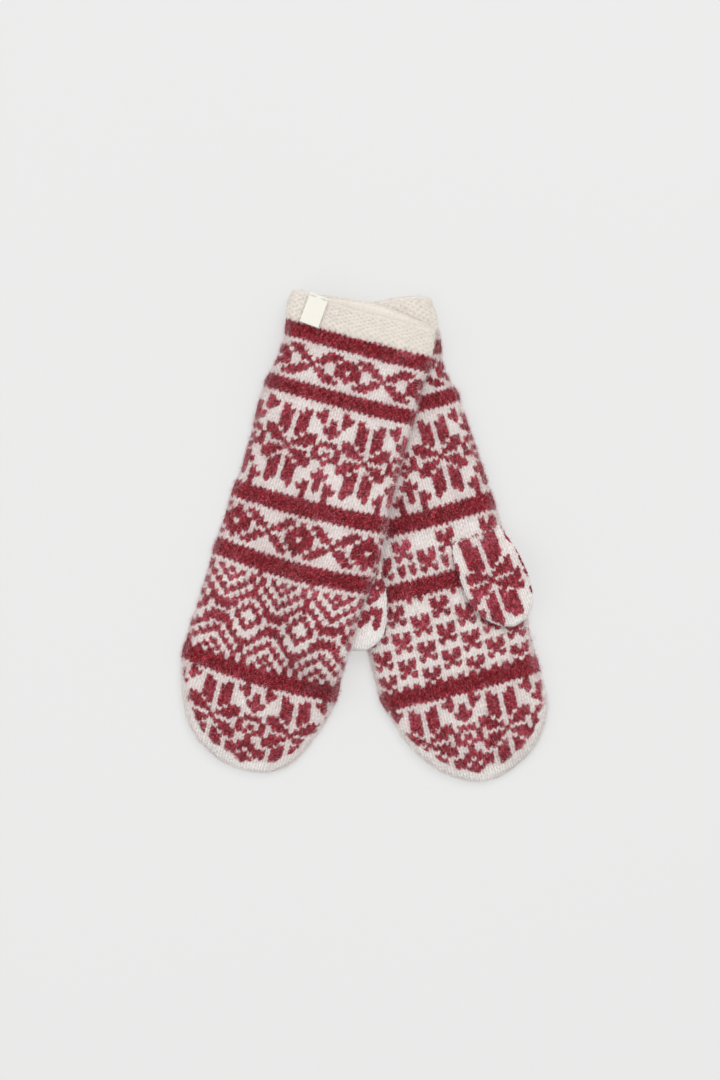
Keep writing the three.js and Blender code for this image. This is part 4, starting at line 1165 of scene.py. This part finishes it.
M_PATTERN = wool("patterned_knit", sheen=0.08, streak=0.10, bump=0.4)
M_CREAM = wool("cream_knit", sheen=0.12, streak=0.04, bump=0.15)
M_YARN = wool("cream_yarn", sheen=0.2, streak=0.08, bump=0.30)
M_THREAD = wool("sewing_thread", sheen=0.1, streak=0.06, bump=0.25, roughness=0.7)
M_HAIR = hair_material("brushed_fibres")
M_LABEL = label_material()

# ------------------------------------------------------------------ where the stitches are
PX = 0.58   # millimetres for each unit of the measured tables


def table_right(pairs):
    return np.array([(v - 27) * PX for v, _ in pairs]), np.array([c for _, c in pairs], float)


def table_left(pairs):
    return np.array([(v - 22) * PX for v, _ in pairs]), np.array([c for _, c in pairs], float)


ROWS_R = table_right([(39.5, -4), (59.2, 0), (74.8, 4), (114.9, 13), (130.5, 17), (226.8, 38), (244.4, 42), (288.7, 51), (306.8, 55), (401.0, 75), (417.8, 79), (507, 99), (530, 104)])
ROWS_L = table_left([(41, -4), (60.5, 0), (76.5, 4), (117, 13), (133, 17), (229, 38), (247.5, 42), (294.3, 51), (311.8, 55), (324, 57.6), (352.5, 63.6), (379, 69.7), (391.7, 72.7), (400, 75), (417.3, 79), (508, 99), (531, 104)])
CENTRE_R = table_right([(57, 105.5), (95, 104.8), (180, 104.5), (265, 101.7), (312, 98.6), (350, 98.2), (392, 98.6), (440, 101.7), (505, 102.5)])
CENTRE_R = (CENTRE_R[0], (CENTRE_R[1] - 103) * PX)
CENTRE_L = table_left([(60, 104.5), (180, 105.8), (265, 108), (350, 110), (440, 107), (505, 107)])
CENTRE_L = (CENTRE_L[0], (CENTRE_L[1] - 99) * PX)
PITCH_R = table_right([(57, 5.2), (95, 5.23), (180, 5.67), (265, 5.55), (312, 5.40), (350, 5.40), (392, 5.40), (440, 5.8), (500, 5.8)])
PITCH_R = (PITCH_R[0], PITCH_R[1] * PX)
PITCH_L = table_left([(57, 5.3), (180, 5.7), (500, 5.7)])
PITCH_L = (PITCH_L[0], PITCH_L[1] * PX)
_v = np.array([40, 57, 120, 235, 297, 405, 500])
BOW_R = ((_v - 27) * PX, np.array([0.5, 1.5, 1.5, 3.5, 5.8, 5.8, 6.0]) * PX, np.array([0, 0, 0, 1.6, 0, -1.5, -1.0]) * PX)
BOW_L = ((_v - 22) * PX, np.array([1.0, 1.5, 2.0, 2.0, 2.0, 2.0, 2.0]) * PX, np.array([-8, -8, 0, 1.6, 1.0, 1.4, 0]) * PX)

BACK, PALM = hand_chart(False), hand_chart(True)

# ------------------------------------------------------------------ the left mitten, palm up on the floor
left_hand = hand("left_hand_knit", LEFT_OUTLINE, LEFT_CUFF_END, left_xy, level, CENTRE_L, PITCH_L, ROWS_L, BOW_L, (PALM, BACK), 101,
                 edge_fade=lambda X, s, xi: 0.38 * smooth((xi - 0.80) / 0.2) * smooth((s - 120) / 80))
LEFT_MOUTH = (((-40.5, 3.0), (-37, 0), (-15, -2.2), (4, -3.4), (16.5, -3.2), (23, -3.0), (33, -2.0), (39, 0.0), (42, 1.6), (43.8, 4.0)),
              ((-40.5, 3.0), (-37, 0), (-15, -3.0), (4, -4.4), (16.5, -3.9), (23, -3.5), (33, -2.3), (39, 0.0), (42, 1.6), (43.8, 4.0)))
left_cuff = cuff("left_cuff_knit", LEFT_OUTLINE, LEFT_CUFF_END, left_xy, level, 131, LEFT_MOUTH)
left_edge = cast_on("left_cast_on_rope", LEFT_OUTLINE, left_xy, level, 141, LEFT_MOUTH)


def left_thumb_z(st, s0, s1):
    up = smooth((st - s0 - 0.5) / 19.0)
    tip = np.clip((st - s1 + 14) / 14, 0, 1)
    t = 1.1 + (THUMB_T - 1.1) * up - 2.0 * tip ** 2
    end = np.clip((s1 - st) / 2.6, 0, 1)
    t2 = t * np.sqrt(np.clip(1 - (1 - end) ** 2, 0.0006, 1))
    z0 = HAND_T - 1.9 + (GAP + 1.9) * smooth((st - s0) / 12.0)
    return z0 + (t - t2) / 2, t2


LEFT_THUMB_SEEN = [(139.4, 23.2, 50.2), (142.0, 22.2, 51.6), (145.0, 21.2, 52.8), (150.8, 20.2, 55.1), (156.6, 20.1, 56.9), (163.6, 21.0, 58.6),
                   (170.5, 21.7, 59.8), (177.5, 23.1, 60.2)] + LEFT_THUMB[10:]
left_thumb = thumb("left_thumb_knit", LEFT_THUMB_SEEN, left_xy, left_thumb_z, (39.0, 169.2), 7.0, 3.0, 2.74, 151)

# ------------------------------------------------------------------ the right mitten, back up, across the left
right_hand = hand("right_hand_knit", RIGHT_OUTLINE, RIGHT_CUFF_END, right_xy, drape, CENTRE_R, PITCH_R, ROWS_R, BOW_R, (BACK, PALM), 201)
RIGHT_MOUTH = (((-43.8, 3.0), (-41.5, 1.0), (-38, 0.2), (-32, 0.5), (-24, 1.7), (-19, 2.6), (0, 3.0), (30, 2.9), (40, 2.4), (44.8, 3.4)),
               ((-43.8, 3.0), (-41.5, 1.0), (-38, 0.0), (-30, 0.0), (-15, -1.6), (-9, -2.3), (0, -3.2), (10, -3.5), (25, -2.0), (38, 0.0), (44.8, 3.4)))
right_cuff = cuff("right_cuff_knit", RIGHT_OUTLINE, RIGHT_CUFF_END, right_xy, drape, 231, RIGHT_MOUTH)
right_edge = cast_on("right_cast_on_rope", RIGHT_OUTLINE, right_xy, drape, 241, RIGHT_MOUTH)


def right_thumb_z(st, s0, s1):
    up = smooth((st - s0) / 15.0)
    tip = np.clip((st - s1 + 14) / 14, 0, 1)
    t = 1.3 + (THUMB_T - 1.3) * up - 2.0 * tip ** 2
    end = np.clip((s1 - st) / 2.6, 0, 1)
    t2 = t * np.sqrt(np.clip(1 - (1 - end) ** 2, 0.0006, 1))
    top = OVER_HAND + THUMB_T + 1.6 * (1 - smooth((st - s0) / 12.0))
    return top - t + (t - t2) / 2, t2


RIGHT_THUMB_SEEN = [(136.4, 21.5, 46.6), (139.0, 20.8, 47.6)] + RIGHT_THUMB[4:]
right_thumb = thumb("right_thumb_knit", RIGHT_THUMB_SEEN, right_xy, right_thumb_z, (38.5, 165.0), 5.0, 3.05, 2.75, 251, upper=thumb_back_chart())

# ------------------------------------------------------------------ yarns
YARN_CREAM = np.array([0.80, 0.755, 0.67])


def arc_path(cx, cs, rx, rs, q0, q1, n, place, z):
    q = np.radians(np.linspace(q0, q1, n))
    X, Y = place(cx + rx * np.sin(q), cs - rs * np.cos(q))
    return np.stack([X, Y, np.full(n, z)], -1)


def closing_path(x, s, r, tail, drift, place, z):
    q = np.radians(np.linspace(-160, 160, 30))
    px, ps = x + r * np.sin(q), s + r * 0.7 - r * 0.7 * np.cos(np.radians(180) + q)
    k = np.linspace(0, 1, 20)[1:]
    px, ps = np.concatenate([px, px[-1] + drift * k]), np.concatenate([ps, ps[-1] - tail * k])
    X, Y = place(px, ps)
    return np.stack([X, Y, np.full(len(X), z)], -1)


def tail_path(x, place, lift):
    s = np.linspace(5, 46, 40)
    X, Y = place(x + 0.8 * np.sin(s / 4), s)
    return np.stack([X, Y, lift(X, Y) + CUFF_WALL + GAP + YARN_D / 2 + 0.1], -1)


left_thumb_z_at = HAND_T + GAP
yarns = [
    ("left_thumb_join", arc_path(34.2, 146.2, 11.0, 10.0, -78, 78, 40, left_xy, HAND_T - 1.5), "left_thumb_join_yarn", "left_mitten"),
    ("left_tip_closing", closing_path(11, 268, 3.4, 26, -5, left_xy, HAND_WALL + GAP + YARN_D / 2), "left_tip_closing_yarn", "left_mitten"),
    ("left_thumb_closing", closing_path(44, 187, 2.4, 7, 2, left_xy, left_thumb_z_at + 2.1 + GAP + YARN_D / 2), "left_thumb_tip_yarn", "left_thumb"),
    ("left_cuff_tail", tail_path(-33.4, left_xy, level), "left_cuff_yarn_tail", "left_mitten"),
    ("right_thumb_join", arc_path(33, 142, 9.5, 11, -80, 80, 40, right_xy, OVER_THUMB + 1.3), "right_thumb_join_yarn", "right_mitten"),
    ("right_tip_closing", closing_path(2, 264, 3.4, 24, 4, right_xy, HAND_WALL + GAP + YARN_D / 2), "right_tip_closing_yarn", "right_mitten"),
    ("right_thumb_closing", closing_path(43.5, 184, 2.4, 7, 2, right_xy, OVER_HAND + THUMB_T - 2.1 - GAP - YARN_D / 2), "right_thumb_tip_yarn", "right_thumb"),
    ("right_cuff_tail", tail_path(-34.4, right_xy, drape), "right_cuff_yarn_tail", "right_mitten"),
]
for i, (name, path, node, body) in enumerate(yarns):
    ob = plied_yarn(name, path, YARN_D, YARN_CREAM, 300 + i)
    ob.data.materials.append(M_YARN)
    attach(ob, body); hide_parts(node)

# ------------------------------------------------------------------ label: one woven ribbon folded on itself
down = math.radians(RIGHT_TURN + 5)
LX = np.array([-math.sin(down), -math.cos(down), 0.0])
LY = np.array([0.0, 0.0, 1.0])
LZ = np.cross(LX, LY)
_lx, _ly = right_xy(-26.4, 0.5)
SEEN_L = 18.2
L0 = np.array([_lx, _ly, OVER_HAND + CUFF_T + GAP])


def ribbon():
    """Two layers with the fold at the free end; the edges are slightly waved and the free end lifts a little."""
    h = 2 * LABEL_T + LABEL_FOLD
    n = 60
    xs = np.linspace(0, SEEN_L - h / 2, n)
    q = np.radians(np.linspace(-90, 90, 15))[1:-1]
    mid_r = h / 2 - LABEL_T / 2
    cx = np.concatenate([xs, SEEN_L - h / 2 + mid_r * np.cos(q), xs[::-1]])
    cy = np.concatenate([np.full(n, LABEL_T / 2), h / 2 + mid_r * np.sin(q), np.full(n, h - LABEL_T / 2)])
    top = np.linspace(0, 1, len(cx))
    cy = cy + 0.25 * smooth((cx - 8) / 9)
    tx, ty = np.gradient(cx), np.gradient(cy)
    ln = np.hypot(tx, ty)
    nx, ny = ty / ln, -tx / ln
    t = LABEL_T * 0.42
    loop_x = np.concatenate([cx + nx * t, (cx - nx * t)[::-1]])
    loop_y = np.concatenate([cy + ny * t, (cy - ny * t)[::-1]])
    K = len(loop_x)
    across = 36
    zz = np.linspace(-0.5, 0.5, across + 1)
    G = np.zeros((across + 1, K, 3))
    run = np.concatenate([[0], np.cumsum(np.hypot(np.diff(loop_x), np.diff(loop_y)))])
    for i, z in enumerate(zz):
        wob = 0.05 * np.sin(loop_x * 1.7 + 3 * z)
        edge = 1 - 0.35 * (abs(z) > 0.49)
        yy = loop_y + 0.07 * math.sin(9 * z) * smooth((loop_x - 3) / 12)
        zc = z * (LABEL_W - 0.15) + wob * (1 if abs(z) > 0.3 else 0.3)
        G[i] = L0 + loop_x[:, None] * LX + yy[:, None] * LY + np.broadcast_to(zc, loop_x.shape)[:, None] * LZ
    verts = G.reshape(-1, 3)
    i, j = np.meshgrid(np.arange(across), np.arange(K), indexing="ij")
    quads = np.stack([i * K + j, i * K + (j + 1) % K, (i + 1) * K + (j + 1) % K, (i + 1) * K + j], -1).reshape(-1, 4)
    # the two long sides are closed by strips between the outer and inner line of the fold
    m = len(cx)
    caps, capuv = [], []
    for base, rev in ((0, False), (across * K, True)):
        for k in range(m - 1):
            f = [base + k, base + k + 1, base + K - 2 - k, base + K - 1 - k]
            caps.append(f[::-1] if not rev else f)
    caps = np.array(caps)
    U = run[None, :].repeat(across + 1, 0) / (run[-1] + 0.5)
    V = np.repeat(((zz + 0.5) * 0.86 + 0.01)[:, None], K, 1)
    Ux = np.concatenate([U, np.ones((across + 1, 1))], 1)
    Vx = np.concatenate([V, V[:, :1]], 1)
    u = np.stack([np.stack([Ux[i, j], Vx[i, j]], -1), np.stack([Ux[i, j + 1], Vx[i, j + 1]], -1),
                  np.stack([Ux[i + 1, j + 1], Vx[i + 1, j + 1]], -1), np.stack([Ux[i + 1, j], Vx[i + 1, j]], -1)], 2).reshape(-1, 4, 2)
    cu = np.zeros((len(caps), 4, 2)); kk = np.arange(len(caps)) / len(caps)
    cu[:, :, 0] = kk[:, None] + np.array([0, 1, 1, 0]) / len(caps); cu[:, :, 1] = np.array([0.92, 0.92, 0.97, 0.97])
    st = u.copy(); st[:, :, 0] *= run[-1]; st[:, :, 1] *= LABEL_W / 0.86
    sc = cu.copy(); sc[:, :, 0] *= 30; sc[:, :, 1] *= 8
    uvq, stq = np.concatenate([u, cu]), np.concatenate([st, sc])
    quads = np.concatenate([quads, caps])
    quads, tris, uvq, _, stq, _ = orient(verts, quads, np.zeros((0, 3), int), uvq, np.zeros((0, 3, 2)), stq, np.zeros((0, 3, 2)), 0)
    ob = make_mesh("woven_label_ribbon", verts, quads, tris, uvq.reshape(-1, 2), stq.reshape(-1, 2), None)
    return ob


label = ribbon()
label.data.materials.append(M_LABEL)
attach(label, "label"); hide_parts("right_cuff_label")
for side, node, name in ((-1, "label_stitch_left", "label_thread_left"), (1, "label_stitch_right", "label_thread_right")):
    h = 2 * LABEL_T + LABEL_FOLD
    z = np.linspace(-1.8, 1.8, 24)
    y = h + 0.30 + 0.28 * np.cos(z / 1.8 * math.pi / 2) - 0.30 * (np.abs(z) / 1.8) ** 3
    path = L0 + 1.3 * LX + y[:, None] * LY + (side * (LABEL_W / 2 - 2.4) + z)[:, None] * LZ
    ob = plied_yarn(name, path, 0.62, np.array([0.82, 0.80, 0.73]), 330 + side)
    ob.data.materials.append(M_THREAD)
    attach(ob, "label"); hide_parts(node)

# ------------------------------------------------------------------ fibres over everything
def brushed(fc, rng):
    red = fc[:, 1] < 0.2
    out = fc.copy()
    k = rng.random(len(fc))[:, None]
    out[red] = (np.array([0.230, 0.0100, 0.0200]) * (1 - k ** 3) + np.array([0.62, 0.26, 0.30]) * k ** 3)[red]
    out[~red] = (np.array([0.93, 0.88, 0.86]) * (1 - 0.7 * k ** 6) + np.array([0.50, 0.12, 0.16]) * 0.7 * k ** 6)[~red]
    return out


def halo(fc, rng):
    k = rng.random(len(fc))[:, None]
    red = (fc[:, 1] < 0.3)[:, None]
    return np.where(red, np.array([0.80, 0.50, 0.52]) * (1 - k) + np.array([0.55, 0.16, 0.20]) * k, np.array([0.90, 0.84, 0.82]) * np.ones((len(fc), 1)))


def pale(fc, rng):
    return np.array([0.93, 0.90, 0.84]) * np.ones((len(fc), 1))


SHARE = 1.0
hairs = []
for side, hk, hb in (("left", "left_hand_knit", "left_mitten"), ("right", "right_hand_knit", "right_mitten")):
    for tag, part, count, size in (("upper_a", "upper", 9600, (2.6, 6.5)), ("upper_b", "upper", 9600, (1.6, 4.2)), ("upper_c", "upper", 9600, (1.2, 3.2)),
                                   ("upper_d", "upper", 9600, (1.2, 3.2)), ("lower", "lower", 6400, (2.4, 6.0)), ("side", "side", 9600, (2.0, 5.0))):
        f = fibres(f"{side}_hand_fibres_{tag}", [hk], int(count * SHARE), 500 + len(hairs), part, length=size,
                   tint=halo if part == "side" else brushed, radius=(0.035, 0.055) if part == "side" else (0.028, 0.050),
                   lift=(0.35, 0.95) if part == "side" else (0.05, 0.34))
        hairs.append(f)
        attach(f, hb)
    ck, rk = f"{side}_cuff_knit", f"{side}_cast_on_rope"
    f = fibres(f"{side}_cuff_fibres", [ck, rk], int(9000 * SHARE), 520 + len(hairs), "all", length=(1.6, 4.0), radius=(0.025, 0.042), lift=(0.10, 0.60), tint=pale, weights=[0.76, 0.24])
    hairs.append(f)
    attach(f, hb)

thumb_hairs = {}
for side in ("left", "right"):
    f = fibres(f"{side}_thumb_fibres", [f"{side}_thumb_knit"], int(4600 * SHARE), 540 + len(thumb_hairs), "all", length=(1.4, 4.2), radius=(0.028, 0.045), lift=(0.06, 0.45), tint=brushed)
    thumb_hairs[side] = f
    hairs.append(f)
for f in hairs:
    f.data.materials.append(M_HAIR)

# ------------------------------------------------------------------ riding, standing for, slots
for ob, body, node, slot, mat in (
    (left_hand, "left_mitten", "left_hand_shell", "patterned_knit", M_PATTERN),
    (left_cuff, "left_mitten", "left_cuff_band", "cream_knit", M_CREAM),
    (left_edge, "left_mitten", "left_cast_on_edge", "cream_knit", M_CREAM),
    (right_hand, "right_mitten", "right_hand_shell", "patterned_knit", M_PATTERN),
    (right_cuff, "right_mitten", "right_cuff_band", "cream_knit", M_CREAM),
    (right_edge, "right_mitten", "right_cast_on_edge", "cream_knit", M_CREAM),
):
    ob.data.materials.append(mat)
    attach(ob, body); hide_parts(node)


def point(place, x, s, z):
    X, Y = place(x, s)
    return (X * MM, Y * MM, z * MM)


for side, ob, place, table, za, zb in (("left", left_thumb, left_xy, LEFT_THUMB, HAND_T, HAND_T),
                                       ("right", right_thumb, right_xy, RIGHT_THUMB, OVER_THUMB, OVER_THUMB)):
    ob.data.materials.append(M_PATTERN)
    s0 = table[0][0]
    a, b = point(place, table[0][1], s0 + 3.0, za), point(place, table[0][1], s0 + 16.0, zb)
    for o in (ob, thumb_hairs[side]):
        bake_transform(o)
    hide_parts(f"{side}_thumb_shell")

# ------------------------------------------------------------------ floor, light and camera
bpy.ops.mesh.primitive_plane_add(size=8, location=(0, 0, 0))
floor = bpy.context.object
floor.name = "floor"
fm = bpy.data.materials.new("studio_paper")
fm.use_nodes = True
fb = fm.node_tree.nodes["Principled BSDF"]
fb.inputs["Roughness"].default_value = 0.9
fb.inputs["Specular IOR Level"].default_value = 0.1
fn = fm.node_tree.nodes.new("ShaderNodeTexNoise"); fn.inputs["Scale"].default_value = 2.0
fr = fm.node_tree.nodes.new("ShaderNodeMapRange"); fr.inputs["To Min"].default_value = 0.975; fr.inputs["To Max"].default_value = 1.02
fs = fm.node_tree.nodes.new("ShaderNodeVectorMath"); fs.operation = "SCALE"; fs.inputs[0].default_value = (0.262, 0.262, 0.262)
fc_ = fm.node_tree.nodes.new("ShaderNodeTexCoord")
fm.node_tree.links.new(fc_.outputs["Object"], fn.inputs["Vector"])
fm.node_tree.links.new(fn.outputs["Fac"], fr.inputs["Value"])
fm.node_tree.links.new(fr.outputs["Result"], fs.inputs["Scale"])
fm.node_tree.links.new(fs.outputs["Vector"], fb.inputs["Base Color"])
fb.inputs["Emission Color"].default_value = (1, 1, 0.995, 1)
fb.inputs["Emission Strength"].default_value = 0.545
floor.data.materials.append(fm)


def area_light(name, at, toward, size, watts, colour=(1, 1, 1)):
    d = bpy.data.lights.new(name, "AREA")
    d.shape = "SQUARE"; d.size = size; d.energy = watts; d.color = colour
    o = bpy.data.objects.new(name, d)
    o.location = at
    import mathutils
    o.rotation_mode = "QUATERNION"
    o.rotation_quaternion = (mathutils.Vector(toward) - mathutils.Vector(at)).to_track_quat("-Z", "Y")
    bpy.context.scene.collection.objects.link(o)
    return o


area_light("key", (0.55, 1.1, 2.1), (0, 0, 0), 1.3, 26.5)
area_light("fill", (-1.3, -0.4, 1.7), (0, 0, 0), 1.8, 10.5)

world = bpy.data.worlds.new("studio")
world.use_nodes = True
world.node_tree.nodes["Background"].inputs["Color"].default_value = (1.0, 1.0, 1.0, 1)
world.node_tree.nodes["Background"].inputs["Strength"].default_value = 0.600
bpy.context.scene.world = world

scene = bpy.context.scene
scene.view_settings.view_transform = "Standard"
scene.view_settings.look = "None"
scene.view_settings.exposure = 0.0
scene.view_settings.gamma = 1.0

cam_data = bpy.data.cameras.new("camera")
cam_data.type = "PERSP"
cam_data.sensor_fit = "AUTO"
cam_data.sensor_width = 36.0
cam_data.lens = 200.0
cam_data.clip_start, cam_data.clip_end = 0.05, 50.0
cam = bpy.data.objects.new("camera", cam_data)
scene.collection.objects.link(cam)
FRAME_H = 0.6279
cam.location = (-0.0026, -0.00296, FRAME_H / 2 / (18.0 / 200.0) + 0.012)
cam.rotation_euler = (0, 0, 0)
scene.camera = cam

bpy.context.view_layer.update()
